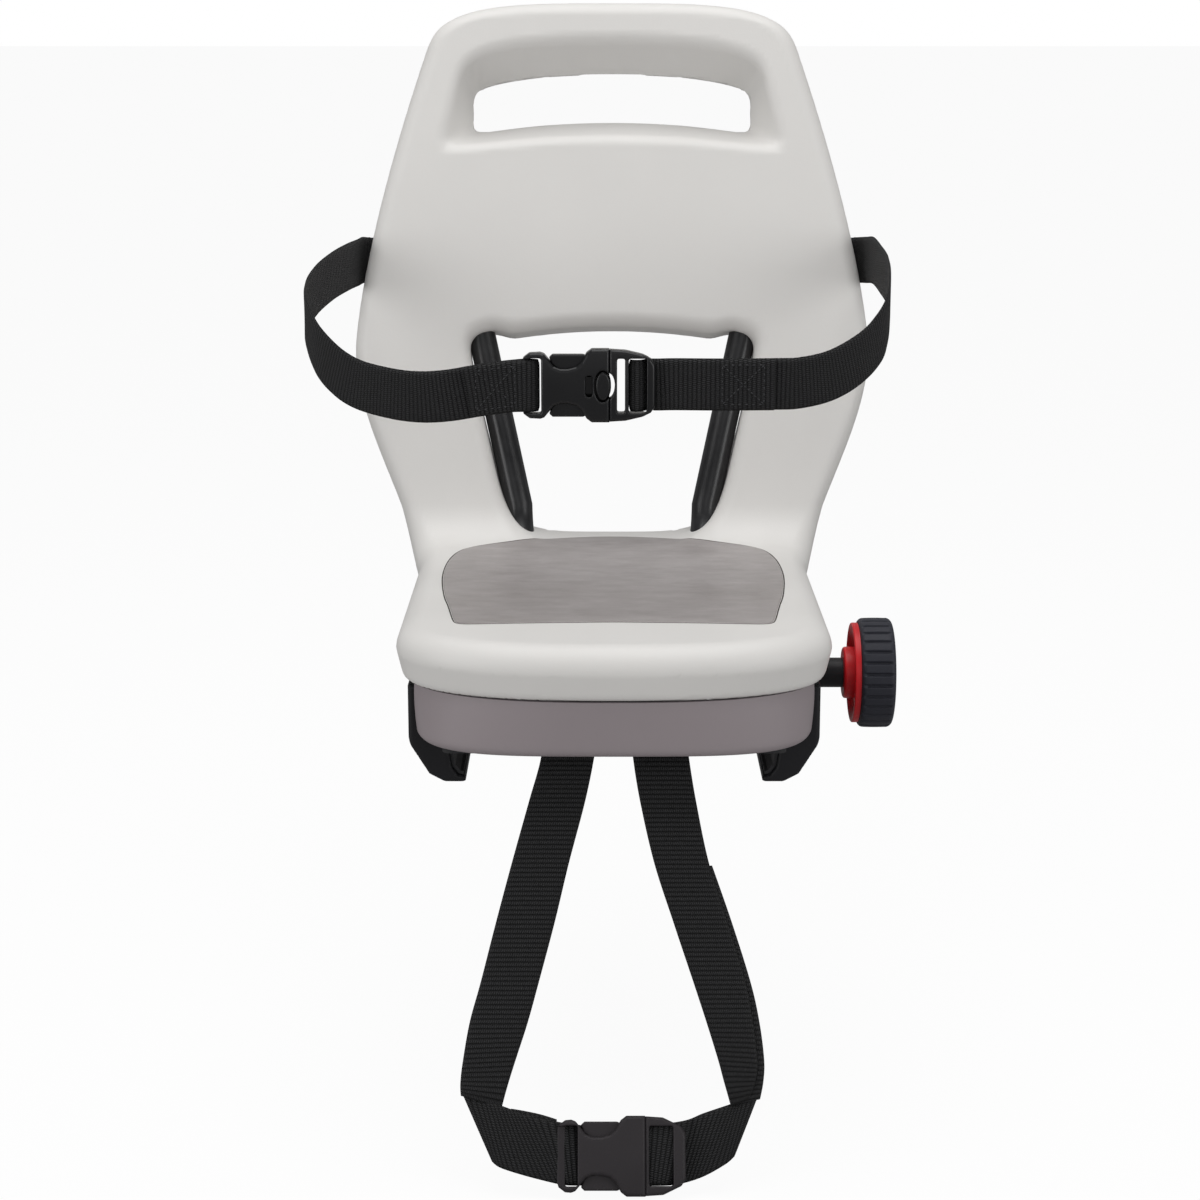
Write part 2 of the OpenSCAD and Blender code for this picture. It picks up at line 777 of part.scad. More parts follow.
// Ribbed soft grip over the wheel's rim
groove_w = 1.7;
groove_deep = 1.1;
module knob_grip() {
    r = grip_d / 2;
    f = 3;
    color(grip_grey)
        translate([knob_in + flange_in + flange_t, spindle_y, spindle_h])
            rotate([0, 90, 0])
                difference() {
                    rotate_extrude()
                        polygon(concat(
                            [[rim_d / 2 + 0.1, 0.1], [r - f, 0.1]],
                            [for (k = [1 : 6]) [r - f + f * sin(15 * k), f - (f - 0.1) * cos(15 * k)]],
                            [for (k = [0 : 6]) [r - f + f * cos(15 * k), grip_len - f + f * sin(15 * k)]],
                            [[rim_d / 2 + 0.1, grip_len]]));
                    for (k = [0 : grooves - 1])
                        rotate([0, 0, k * 360 / grooves])
                            translate([r + groove_w / 2 - groove_deep, 0, -1])
                                cylinder(d = groove_w, h = grip_len + 2, $fn = 8);
                }
}

// Disc that closes the hub over the knob's screw
cap_d = 18;
cap_seat = 2;
module knob_cap() {
    color(grip_grey)
        translate([knob_in + wheel_l - cap_seat, spindle_y, spindle_h])
            rotate([0, 90, 0])
                rotate_extrude()
                    polygon([
                        [0, 3.2 - 3.1], [cap_d / 2, 3.2 - 3.1], [cap_d / 2, cap_seat],
                        [cap_d / 2 - 1.2, cap_seat + 0.9], [0, cap_seat + 1.2]]);
}

module knob_screw() {
    head = 3;
    color(steel)
        translate([knob_in + wheel_l - cap_seat - 0.1, spindle_y, spindle_h])
            rotate([0, -90, 0])
                rotate_extrude()
                    polygon([[0, 0], [knob_screw_d / 2, 0], [knob_screw_d / 2, head + 10], [0, head + 10]]);
}

// Jaw profile in X and Z: block in the cover, wall outside it, hook under the rail
jaw_block_low = 9;
hook_low = -20.3;
jaw_profile = [
    [jaw_open / 2, hook_low], [jaw_open / 2 + 9.8, hook_low], [jaw_open / 2 + 17, hook_low + 3.8],
    [jaw_face - 0.8, -2.5], [jaw_face, 1], [jaw_face, jaw_top], [jaw_block_in, jaw_top],
    [jaw_block_in, jaw_block_low], [jaw_open / 2 + 7.5, jaw_block_low], [jaw_open / 2 + 7.5, -6],
    [jaw_open / 2 + 6.3, -13], [jaw_open / 2 + 3.5, hook_low + 3.7], [jaw_open / 2, hook_low + 3]];

module jaw_shape() {
    difference() {
        translate([0, jaw_l / 2, 0])
            rotate([90, 0, 0])
                linear_extrude(jaw_l)
                    polygon(jaw_profile);
        translate([0, spindle_y, spindle_h])
            rotate([0, 90, 0])
                cylinder(d = spindle_d + 1, h = jaw_face + 5);
        translate([jaw_block_in + nut_in, spindle_y - nut_w / 2 - 0.1, spindle_h - nut_w / 2 - 0.1])
            cube([nut_l + 0.2, nut_w + 0.2, nut_w + 10]);
        for (s = [-1, 1])
            translate([0, spindle_y + s * rod_pitch, spindle_h])
                rotate([0, 90, 0])
                    cylinder(d = rod_d + 2 * run_gap, h = jaw_face + 5);
        for (y = [-jaw_l / 2 + 16, jaw_l / 2 - 16])
            translate([jaw_face - 1.2, y - 9, -1])
                cube([4, 18, 12]);
    }
}

module jaw_right() {
    color(black)
        jaw_shape();
}

module jaw_left() {
    color(black)
        mirror([1, 0, 0])
            jaw_shape();
}

// Square threaded nut dropped into the jaw's block from above
module nut_shape() {
    difference() {
        translate([jaw_block_in + nut_in + 0.1, spindle_y - nut_w / 2, spindle_h - nut_w / 2])
            cube([nut_l, nut_w, jaw_top - 0.3 - spindle_h + nut_w / 2]);
        translate([jaw_block_in, spindle_y, spindle_h])
            rotate([0, 90, 0])
                cylinder(d = bore_d, h = nut_l + nut_in + 2);
    }
}

module jaw_nut_right() {
    color(brass)
        nut_shape();
}

module jaw_nut_left() {
    color(brass)
        mirror([1, 0, 0])
            nut_shape();
}

// Rubber lining on the inner face of wall and hook
module lining_shape() {
    a = jaw_open / 2;
    g = 0.1;
    t = lining_t;
    translate([0, jaw_l / 2 - 2, 0])
        rotate([90, 0, 0])
            linear_extrude(jaw_l - 4)
                polygon([
                    [a + 7.5 - g, 1], [a + 7.5 - g, -6], [a + 6.3 - g, -13 + g],
                    [a + 3.5 - g, hook_low + 3.7 + g], [a + 1, hook_low + 3.2 + g],
                    [a + 1, hook_low + 3.2 + t], [a + 3 - t / 3, hook_low + 3.7 + t],
                    [a + 6.3 - t, -13 + t / 2], [a + 7.5 - t, -5.6], [a + 7.5 - t, 1]]);
}

module jaw_lining_right() {
    color(rubber)
        lining_shape();
}

module jaw_lining_left() {
    color(rubber)
        mirror([1, 0, 0])
            lining_shape();
}

// Waist belt: points along the middle of the webbing, from the socket round the
// back to the tongue, hand laid
belt_y = 26;
belt_rear = on_back(0, bridge_s, back_t + 0.3 + web_t / 2);
belt_route = [
    [-46.2, belt_y, belt_h], [-63, belt_y, belt_h - 2.7], [-79, 28, belt_h - 5.7],
    [-94, 33, belt_h - 6.7], [-109, 42, belt_h - 6.2], [-126, 56, belt_h - 3.7],
    [-138, 68, belt_h + 1.8], [-148, 82, belt_h + 10.3], [-155, 100, belt_h + 20.3],
    [-157, 116, belt_h + 27.8], [-154, 136, belt_h + 34.3], [-148, 158, belt_h + 39.3],
    [-142, 180, belt_h + 42], [-138.5, 200, belt_h + 42.5], [-137, 213, belt_rear[2] + 1],
    [-134, belt_rear[1] - 2.4, belt_rear[2] + 0.3], [-127, belt_rear[1] + 0.3, belt_rear[2]],
    [-60, belt_rear[1], belt_rear[2]], [0, belt_rear[1], belt_rear[2]],
    [60, belt_rear[1], belt_rear[2]], [127, belt_rear[1] + 0.3, belt_rear[2]],
    [134, belt_rear[1] - 2.4, belt_rear[2] + 0.3], [137, 213, belt_rear[2] + 1],
    [138.5, 200, belt_h + 44], [140, 180, belt_h + 45.5], [141, 155, belt_h + 43.5],
    [142, 128, belt_h + 39.5],
    [140, 102, belt_h + 32.5], [136, 82, belt_h + 22.5], [129, 68, belt_h + 14],
    [118.5, 54, belt_h + 7.5], [105, 42, belt_h + 2.3], [90, 32, belt_h + 0.3],
    [77.5, 28, belt_h + 0.3], [50, belt_y, belt_h + 0.3], [24.3, belt_y, belt_h + 0.3]];

// Ribbon of width w and thickness t: its width stands up, leaning with the backrest behind
function ribbon_ring(path, i, w, t) =
    let (a = path[max(0, i - 1)], b = path[min(len(path) - 1, i + 1)],
         along = unit(b - a),
         lean = recline * smooth((path[i][1] - 150) / 70),
         stand = [0, sin(lean), cos(lean)],
         up = unit(stand - (stand * along) * along),
         out = cross(along, up))
    [path[i] - w / 2 * up - t / 2 * out, path[i] - w / 2 * up + t / 2 * out,
     path[i] + w / 2 * up + t / 2 * out, path[i] + w / 2 * up - t / 2 * out];

module belt_webbing() {
    color(black)
        loft([for (i = [0 : len(belt_route) - 1]) ribbon_ring(belt_route, i, belt_w, web_t)]);
}

// Bridge over the belt on the rear face, with a screw above and one below the webbing
bridge_l = 2 * bridge_half + 11;
bridge_wide = 44;
bridge_t = 3;
bridge_rise = web_t + 0.6;
module belt_bridge() {
    color(black)
        on_back_place(0, bridge_s, back_t)
            difference() {
                union() {
                    translate([0, 0, 0.1])
                        linear_extrude(bridge_rise + bridge_t - 1)
                            square([bridge_wide, bridge_l], center = true);
                    translate([0, 0, 0.1])
                        linear_extrude(bridge_rise + bridge_t)
                            square([bridge_wide - 2, bridge_l - 2], center = true);
                }
                translate([0, 0, bridge_rise / 2])
                    cube([60, belt_w + 2, bridge_rise + 0.2], center = true);
                for (y = [-bridge_half, bridge_half])
                    translate([0, y, -1])
                        cylinder(d = screw_d + 2 * hole_gap, h = 20);
            }
}

module bridge_screws() {
    color(steel)
        for (s = [-bridge_half, bridge_half])
            on_back_place(0, bridge_s + s, back_t + bridge_rise + bridge_t + 0.1)
                rotate([180, 0, 0])
                    pan_head_screw(bridge_rise + bridge_t + screw_bite - 1);
}

// Side-release buckles are drawn lying down: X along the webbing, Y across it,
// Z through it, with the socket's mouth at X = 0
scoop_r = 9;
prong_in = 17;
module buckle_socket_shape(l) {
    half = buckle_w / 2;
    ear = half - 1.6;
    mouth = 14.5;
    difference() {
        translate([0, 0, -buckle_t / 2])
            linear_extrude(buckle_t)
                difference() {
                    polygon([
                        [0, half], [-8.5, half], [-10.5, half - 2], [-12, half - 5],
                        [10.4 - l, half - 5], [8.4 - l, ear], [4 - l, ear], [-l, ear - 3],
                        [-l, 3 - ear], [4 - l, -ear], [8.4 - l, -ear], [10.4 - l, 5 - half],
                        [-12, 5 - half], [-10.5, 2 - half], [-8.5, -half], [0, -half]]);
                    for (s = [-1, 1])
                        translate([-20.5, s * (half + 0.7)])
                            scale([1.05, 1])
                                circle(r = scoop_r);
                    translate([3.4 - l, -belt_w / 2 - 1])
                        square([4.5, belt_w + 2]);
                }
        translate([-prong_in - 10, -mouth, -2.6])
            cube([prong_in + 11, 2 * mouth, 5.2]);
        translate([-9.5, 0, 0])
            linear_extrude(buckle_t)
                scale([0.75, 1.55])
                    circle(r = 4.2);
    }
}

// Frame with a bar for the webbing, two sprung prongs and a guide between them
module buckle_tongue_shape(l) {
    half = buckle_w / 2;
    g = 0.2;
    difference() {
        translate([0, 0, -buckle_t / 2 + 1])
            linear_extrude(buckle_t - 2)
                polygon([
                    [g, half], [8, half - 0.5], [l - 6, half - 2.4], [l - 1.5, half - 4.5],
                    [l, half - 7], [l, 7 - half], [l - 1.5, 4.5 - half], [l - 6, 2.4 - half],
                    [8, 0.5 - half], [g, -half]]);
        translate([3.8, 0, -20])
            linear_extrude(40)
                buckle_slot(3.7, belt_w + 1.5);
        translate([9.6, 0, -20])
            linear_extrude(40)
                buckle_slot(3.6, belt_w + 1.5);
        translate([15.6, 0, -20])
            linear_extrude(40)
                buckle_slot(3.2, belt_w + 1.5);
    }
    translate([0, 0, -2.2])
        linear_extrude(4.4) {
            for (s = [-1, 1])
                polygon([
                    [g + 1, s * 8], [g + 1, s * 12.5], [-8, s * 13.2], [-14, s * 13.6],
                    [-prong_in - 4, s * 13.9], [-prong_in - 8, s * 11.5], [-prong_in - 8, s * 8.6],
                    [-prong_in - 4, s * 8], [-8, s * 8.6]]);
            polygon([[g + 1, 5], [-20, 4], [-22, 2], [-22, -2], [-20, -4], [g + 1, -5]]);
        }
}

module buckle_slot(w, h) {
    translate([0, -h / 2])
        square([w, h]);
}

// The belt's buckle stands upright, facing forward
belt_mouth_x = -2.3;
module stand_belt_buckle() {
    translate([belt_mouth_x, belt_y, belt_h])
        rotate([90, 0, 0])
            children();
}

module belt_buckle_socket() {
    color(black)
        stand_belt_buckle()
            buckle_socket_shape(socket_l);
}

module belt_buckle_tongue() {
    color(black)
        stand_belt_buckle()
            buckle_tongue_shape(frame_l);
}

// The lower strap hangs in its own plane that leans forward from the cover
strap_socket_l = 39;
strap_frame_l = 18;
strap_mouth_x = 13.5;
strap_t = 2 * web_t;
module strap_plane() {
    translate([0, strap_exit, cover_under])
        rotate([-strap_lean, 0, 0])
            children();
}

function strap_corner(v) = v * strap_drop / 187;
strap_out_left = [
    [-33, 3], [-39.5, 28], [-47, 56], [-54, 83], [-60.7, 110], [-65.5, 128], [-68.5, 146],
    [-69.8, 155], [-68.8, 162], [-63.7, 173], [-55.9, 192], [-36, 199.5]];
strap_in_left = [
    [-7.5, 3], [-13.5, 28], [-20.8, 56], [-27.4, 83], [-34.4, 110], [-39.5, 128],
    [-44.6, 146], [-47.3, 155], [-51.6, 169], [-36, 173]];
strap_out_right = [
    [33, 3], [37.7, 28], [43.5, 56], [52.8, 83], [61, 110], [65, 128], [67.5, 146],
    [67.4, 155], [65, 164], [61.3, 173], [52.5, 192], [42, 199.5]];
strap_in_right = [
    [7.5, 3], [11.9, 28], [18.2, 56], [26.9, 83], [35.6, 110], [41.5, 128], [46.3, 146],
    [48.9, 155], [52.8, 166], [42, 173]];
buckle_left_x = strap_mouth_x - strap_socket_l - 0.3;
buckle_right_x = strap_mouth_x + strap_frame_l + 0.3;

// Loop of webbing over the pin, seen along X: down in front, over, and down behind
module strap_loop() {
    inner = anchor_d / 2 + loop_gap;
    translate([-strap_w / 2, strap_y, anchor_z])
        rotate([90, 0, 90])
            linear_extrude(strap_w)
                difference() {
                    union() {
                        circle(r = inner + web_t);
                        translate([-inner - web_t, -anchor_z - 1])
                            square([web_t, anchor_z + 1]);
                        translate([inner, -6])
                            square([web_t, 6]);
                    }
                    circle(r = inner);
                    translate([-inner, -anchor_z - 2])
                        square([2 * inner, anchor_z + 2]);
                }
}

// Both lengths of the lower strap lie in one plane, folded at the lower corners
module strap_side(outer, inner, end_x) {
    low = strap_drop + strap_w / 2;
    high = strap_drop - strap_w / 2;
    points = concat(
        outer, [[end_x, low], [end_x, high]],
        [for (i = [len(inner) - 1 : -1 : 0]) inner[i]]);
    strap_plane()
        rotate([-90, 0, 0])
            translate([0, 0, -strap_t / 2])
                linear_extrude(strap_t)
                    polygon(points);
}

module strap_webbing() {
    color(black) {
        strap_side(strap_out_left, strap_in_left, buckle_left_x);
        strap_side(strap_out_right, strap_in_right, buckle_right_x);
        for (x = [-strap_slot_x, strap_slot_x])
            translate([x, 0, 0])
                strap_loop();
    }
}

module stand_strap_buckle() {
    strap_plane()
        translate([strap_mouth_x, 0, -strap_drop])
            rotate([90, 0, 0])
                children();
}

module strap_buckle_socket() {
    color(strap_grey)
        stand_strap_buckle()
            buckle_socket_shape(strap_socket_l);
}

module strap_buckle_tongue() {
    color(strap_grey)
        stand_strap_buckle()
            buckle_tongue_shape(strap_frame_l);
}

seat_shell();
seat_pad();
frame_tube();
chassis_plate();
chassis_screws();
base_cover();
cover_screws();
rest_pads();
bearing_bracket_left();
bearing_bracket_right();
bracket_screws();
thrust_washers();
guide_rods();
spindle();
spindle_sleeve();
knob_wheel();
knob_grip();
knob_cap();
knob_screw();
jaw_left();
jaw_right();
jaw_nut_left();
jaw_nut_right();
jaw_lining_left();
jaw_lining_right();
belt_webbing();
belt_buckle_socket();
belt_buckle_tongue();
belt_bridge();
bridge_screws();
strap_webbing();
strap_buckle_socket();
strap_buckle_tongue();
strap_anchor_bar();
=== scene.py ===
# %% [markdown]
# # A child's seat that clamps to a bicycle rack
# The seat is one pale moulding that runs from the pan up into the backrest. A soft
# pad lies in the pan, a bent black tube stands in the lower window, a tray closes
# the underside, and a knob at the side draws two jaws onto the rack. One belt goes
# round the child and a second strap hangs below to be buckled under the rack.
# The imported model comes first. It is the frame that every later piece must fit.

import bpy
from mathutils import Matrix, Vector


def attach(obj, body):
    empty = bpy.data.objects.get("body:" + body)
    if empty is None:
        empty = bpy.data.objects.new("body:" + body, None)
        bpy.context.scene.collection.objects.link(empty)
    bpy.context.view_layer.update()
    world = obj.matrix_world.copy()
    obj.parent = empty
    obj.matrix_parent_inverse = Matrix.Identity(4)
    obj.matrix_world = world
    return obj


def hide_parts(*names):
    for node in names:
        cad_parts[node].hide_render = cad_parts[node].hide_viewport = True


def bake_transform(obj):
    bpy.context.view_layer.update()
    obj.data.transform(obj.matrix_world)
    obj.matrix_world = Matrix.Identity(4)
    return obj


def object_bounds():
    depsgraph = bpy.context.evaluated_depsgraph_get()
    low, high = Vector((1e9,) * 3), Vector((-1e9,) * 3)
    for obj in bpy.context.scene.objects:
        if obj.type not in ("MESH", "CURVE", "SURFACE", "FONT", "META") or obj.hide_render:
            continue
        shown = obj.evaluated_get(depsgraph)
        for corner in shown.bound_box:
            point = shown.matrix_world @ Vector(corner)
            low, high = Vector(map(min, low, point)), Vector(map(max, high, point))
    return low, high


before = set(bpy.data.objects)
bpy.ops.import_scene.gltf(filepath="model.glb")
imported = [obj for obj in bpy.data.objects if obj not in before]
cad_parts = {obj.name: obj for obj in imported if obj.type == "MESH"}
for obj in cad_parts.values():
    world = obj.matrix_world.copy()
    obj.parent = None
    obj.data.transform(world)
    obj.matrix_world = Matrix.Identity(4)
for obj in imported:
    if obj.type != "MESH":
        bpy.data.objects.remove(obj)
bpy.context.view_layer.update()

import math

import bpy
import numpy as np
from mathutils import Vector

# %% [markdown]
# The photograph was taken from about 1.2 m in front, looking slightly down, with no
# turn to either side. A long lens on a level tripod does the same here: the tilt is
# in the camera's rotation, and no shift is needed.

# %% Camera
MM = 0.001
CAMERA_AT = (-6.6, -1157.0, 324.0)
FOCAL, SENSOR = 74.4, 36.0
TILT_DOWN = 13
camera = bpy.data.objects.new("camera", bpy.data.cameras.new("camera"))
bpy.context.scene.collection.objects.link(camera)
camera.data.sensor_width = SENSOR
camera.data.lens = FOCAL
camera.data.clip_start = 0.05
camera.location = np.array(CAMERA_AT) * MM
camera.rotation_euler = (math.radians(90 - TILT_DOWN), 0.0, 0.0)
bpy.context.scene.camera = camera
print("camera at", [round(c, 3) for c in camera.location])

# %% [markdown]
# Every new piece is computed with numpy as arrays of points in millimetres, because
# the product's drawing is in millimetres. One helper turns such arrays into a mesh in
# metres, smooth-shaded, and says how big it came out.

# %% Arrays into a mesh
def add_mesh(name, points, faces, normals=None, uv=None, smooth=True):
    """A mesh object from points (n, 3) in millimetres and faces (m, 3 or 4).
    normals gives a direction per point, uv a pair per point."""
    points = np.asarray(points, float) * MM
    faces = np.asarray(faces, np.int32)
    corners = faces.shape[1]
    mesh = bpy.data.meshes.new(name)
    mesh.vertices.add(len(points))
    mesh.vertices.foreach_set("co", points.astype(np.float32).ravel())
    mesh.loops.add(faces.size)
    mesh.loops.foreach_set("vertex_index", faces.ravel())
    mesh.polygons.add(len(faces))
    mesh.polygons.foreach_set("loop_start", np.arange(0, faces.size, corners, dtype=np.int32))
    if uv is not None:
        layer = mesh.uv_layers.new(name="along")
        layer.data.foreach_set("uv", np.asarray(uv, np.float32)[faces.ravel()].ravel())
    mesh.update(calc_edges=True)
    mesh.validate()
    mesh.polygons.foreach_set("use_smooth", np.full(len(mesh.polygons), smooth))
    if normals is not None and len(mesh.vertices) == len(points):
        mesh.normals_split_custom_set_from_vertices(np.asarray(normals, np.float32))
    piece = bpy.data.objects.new(name, mesh)
    bpy.context.scene.collection.objects.link(piece)
    size = (points.max(0) - points.min(0)) / MM
    print(f"{name}: {len(points)} points, {len(faces)} faces, {size.round(1)} mm")
    return piece


def grid_faces(rows, cols, close_rows=False, close_cols=False):
    """Quads that join a rows by cols grid of points, wrapped round where asked."""
    i = np.arange(rows if close_rows else rows - 1)[:, None]
    j = np.arange(cols if close_cols else cols - 1)[None, :]
    a, b = i * cols + j, i * cols + (j + 1) % cols
    c, d = (i + 1) % rows * cols + (j + 1) % cols, (i + 1) % rows * cols + j
    return np.stack([a, b, c, d], -1).reshape(-1, 4)


BOX_QUADS = np.array([[0, 1, 3, 2], [4, 6, 7, 5], [0, 4, 5, 1], [2, 3, 7, 6], [0, 2, 6, 4], [1, 5, 7, 3]])


def box_corners(low, high):
    """The eight corners of a block between two opposite ones."""
    unit = np.array([[i, j, k] for i in (0, 1) for j in (0, 1) for k in (0, 1)], float)
    return np.array(low) + unit * (np.array(high) - np.array(low))


def capped(rings, ends):
    """Points and triangles over rings (rows, cols, 3), each end closed by a fan round
    its own end point."""
    rows, cols = rings.shape[:2]
    quads = grid_faces(rows, cols, False, True)
    j = np.arange(cols)
    k = (j + 1) % cols
    tip, last = np.full(cols, rows * cols), (rows - 1) * cols
    fans = [np.column_stack([tip, k, j]), np.column_stack([tip + 1, last + j, last + k])]
    return (np.vstack([rings.reshape(-1, 3), ends]),
            np.concatenate([quads[:, [0, 1, 2]], quads[:, [0, 2, 3]]] + fans))


def joined(parts):
    """Several (points, faces) as one."""
    pts, faces, base = [], [], 0
    for p, f in parts:
        pts.append(p)
        faces.append(np.asarray(f) + base)
        base += len(p)
    return np.concatenate(pts), np.concatenate(faces)


def run_along(path):
    """The distance travelled to each point of a path."""
    return np.concatenate([[0], np.cumsum(np.linalg.norm(np.diff(path, axis=0), axis=1))])


def heading(path):
    """The direction of travel at each point, of length one."""
    along = np.gradient(path, axis=0)
    return along / np.linalg.norm(along, axis=1)[:, None]


def place(piece, finish, body, slot, *nodes):
    """Give a piece its finish, let it ride on its body and stand for its solids, whose
    imported parts are hidden. The slot is not used."""
    piece.data.materials.append(finish)
    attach(piece, body)
    if nodes:
        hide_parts(*nodes)
    return piece

# %% [markdown]
# A moulding has no sharp edges: every wall runs into the next through a fillet. That
# is easiest to say as a field, a number at every point of space that is negative
# inside the plastic, and zero on its skin. Two fields meet in a rounded corner, and the
# skin is then found on a grid: each grid cell that the skin passes through gets one
# point, and neighbouring points are joined. At the end the points slide exactly onto
# the skin, and the field's own slope gives the shading.

# %% Fields and their skin
def smooth(u):
    """Goes from 0 to 1 as u does, level at both ends: u squared times (3 - 2 u)."""
    u = np.clip(u, 0.0, 1.0)
    return u * u * (3 - 2 * u)


def mix(a, b, u):
    """The value u of the way from a to b."""
    return a + (b - a) * u


def corner(a, b, ra, rb=None):
    """Inside both a and b, with an elliptic edge whose half axes are ra and rb:
    beyond both tangent lines it is the length of (1 + a/ra, 1 + b/rb) less one."""
    rb = ra if rb is None else rb
    u, v = 1 + a / ra, 1 + b / rb
    both = (u > 0) & (v > 0)
    return np.where(both, (np.hypot(u, v) - 1) * np.minimum(ra, rb), np.maximum(a, b))


def cut(body, tool, r):
    """The body with the tool's space taken out, its edges rounded by r."""
    return corner(body, -tool, r)


def fuse(a, b, r):
    """Either a or b, with a fillet of radius r in the valley between them."""
    return -corner(-a, -b, r)


def level(shape, a, b, step=0.5):
    """Turns any shape function of two coordinates into millimetres: its value
    divided by the length of its slope."""
    value = shape(a, b)
    da = (shape(a + step, b) - shape(a - step, b)) / (2 * step)
    db = (shape(a, b + step) - shape(a, b - step)) / (2 * step)
    return value / np.maximum(np.hypot(da, db), 1 / 400)


def slope(field, points, step=0.05):
    """The field's slope by differences to both sides along X, Y and Z."""
    out = np.empty_like(points)
    for axis in range(3):
        shift = np.zeros(3)
        shift[axis] = step
        out[:, axis] = (field(points + shift) - field(points - shift)) / (2 * step)
    return out


def skin(field, low, high, cell, rounds=4):
    """Points, quads and normals of the surface where the field is zero, from a grid
    of cells between the corners low and high."""
    low, high = np.array(low, float), np.array(high, float)
    counts = np.ceil((high - low) / cell).astype(int) + 1
    axes = [low[k] + cell * np.arange(counts[k]) for k in range(3)]
    grid = np.stack(np.meshgrid(*axes, indexing="ij"), -1)
    value = field(grid.reshape(-1, 3)).reshape(counts)
    inside = value < 0
    total = np.zeros(tuple(counts - 1) + (3,))
    hits = np.zeros(tuple(counts - 1))
    quads = []
    index = np.arange(hits.size).reshape(hits.shape)
    for axis in range(3):
        near = [slice(None)] * 3
        far = [slice(None)] * 3
        near[axis], far[axis] = slice(0, -1), slice(1, None)
        near, far = tuple(near), tuple(far)
        crossed = inside[near] != inside[far]
        part = value[near] / np.where(crossed, value[near] - value[far], 1.0)
        at = grid[near] + part[..., None] * (grid[far] - grid[near])
        at = at * crossed[..., None]
        others = [k for k in range(3) if k != axis]
        for p in (0, 1):
            for q in (0, 1):
                src, dst = [slice(None)] * 3, [slice(None)] * 3
                for other, step in zip(others, (p, q)):
                    size = counts[other]
                    src[other] = slice(step, size - 1 + step)
                    dst[other] = slice(0, size - 1)
                total[tuple(dst)] += at[tuple(src)]
                hits[tuple(dst)] += crossed[tuple(src)]
        core = [slice(None)] * 3
        for other in others:
            core[other] = slice(1, counts[other] - 1)
        where = np.argwhere(crossed[tuple(core)])
        for other in others:
            where[:, other] += 1
        flip = inside[near][tuple(where.T)]
        steps = np.eye(3, dtype=int)[others]
        ring = [where - steps[0] - steps[1], where - steps[1], where, where - steps[0]]
        ids = np.stack([index[tuple(r.T)] for r in ring], -1)
        if axis == 1:
            flip = ~flip
        quads.append(np.where(flip[:, None], ids, ids[:, ::-1]))
    quads = np.concatenate(quads)
    used = hits.ravel() > 0
    points = total.reshape(-1, 3)[used] / hits.ravel()[used][:, None]
    renumber = np.cumsum(used) - 1
    quads = renumber[quads]
    for _ in range(rounds):
        grad = slope(field, points)
        step = field(points) / np.maximum((grad ** 2).sum(1), 1e-3)
        move = -grad * step[:, None]
        size = np.linalg.norm(move, axis=1)
        points = points + move * np.minimum(1, 0.5 * cell / np.maximum(size, 1e-9))[:, None]
    grad = slope(field, points)
    normals = grad / np.maximum(np.linalg.norm(grad, axis=1), 1e-9)[:, None]
    return points, quads, normals


def add_skin(name, field, low, high, cell):
    """A piece made from a field between two corners, on a grid of the given cell."""
    points, quads, normals = skin(field, low, high, cell)
    return add_mesh(name, points, quads, normals)

# %% [markdown]
# Plastic is never one flat colour. A moulded part has a fine spark-eroded texture
# that breaks up the gloss, slight clouding of the colour, and a trace of wear. The
# finishes below build the texture and the clouding from noise that reads Object
# coordinates, so that they stay put when a piece moves, and from plain numbers on
# the shader's own sockets.

# %% Finishes for the plastics
def new_finish(name):
    """An empty node material with its shader and output joined."""
    finish = bpy.data.materials.new(name)
    finish.use_nodes = True
    tree = finish.node_tree
    tree.nodes.clear()
    out = tree.nodes.new("ShaderNodeOutputMaterial")
    shader = tree.nodes.new("ShaderNodeBsdfPrincipled")
    tree.links.new(shader.outputs["BSDF"], out.inputs["Surface"])
    return finish, tree, shader


def noise(tree, coordinate, scale, detail=3.0, roughness=0.5, stretch=(1, 1, 1)):
    """Noise on a coordinate, scaled and stretched."""
    mapping = tree.nodes.new("ShaderNodeMapping")
    mapping.inputs["Scale"].default_value = stretch
    texture = tree.nodes.new("ShaderNodeTexNoise")
    texture.inputs["Scale"].default_value = scale
    texture.inputs["Detail"].default_value = detail
    texture.inputs["Roughness"].default_value = roughness
    tree.links.new(coordinate, mapping.inputs["Vector"])
    tree.links.new(mapping.outputs["Vector"], texture.inputs["Vector"])
    return texture.outputs["Fac"]


def ramp(tree, value, stops):
    """Colours at stops along a value."""
    node = tree.nodes.new("ShaderNodeValToRGB")
    elements = node.color_ramp.elements
    while len(elements) < len(stops):
        elements.new(0.5)
    for element, (position, colour) in zip(elements, stops):
        element.position = position
        element.color = (*colour, 1.0)
    tree.links.new(value, node.inputs["Fac"])
    return node.outputs["Color"]


def scaled(tree, value, low, high):
    """A value from 0 to 1 mapped to low to high."""
    node = tree.nodes.new("ShaderNodeMapRange")
    node.inputs["To Min"].default_value = low
    node.inputs["To Max"].default_value = high
    tree.links.new(value, node.inputs["Value"])
    return node.outputs["Result"]


def bump(tree, height, strength, distance, normal=None):
    """Raised texture from a height."""
    node = tree.nodes.new("ShaderNodeBump")
    node.inputs["Strength"].default_value = strength
    node.inputs["Distance"].default_value = distance
    tree.links.new(height, node.inputs["Height"])
    if normal is not None:
        tree.links.new(normal, node.inputs["Normal"])
    return node.outputs["Normal"]


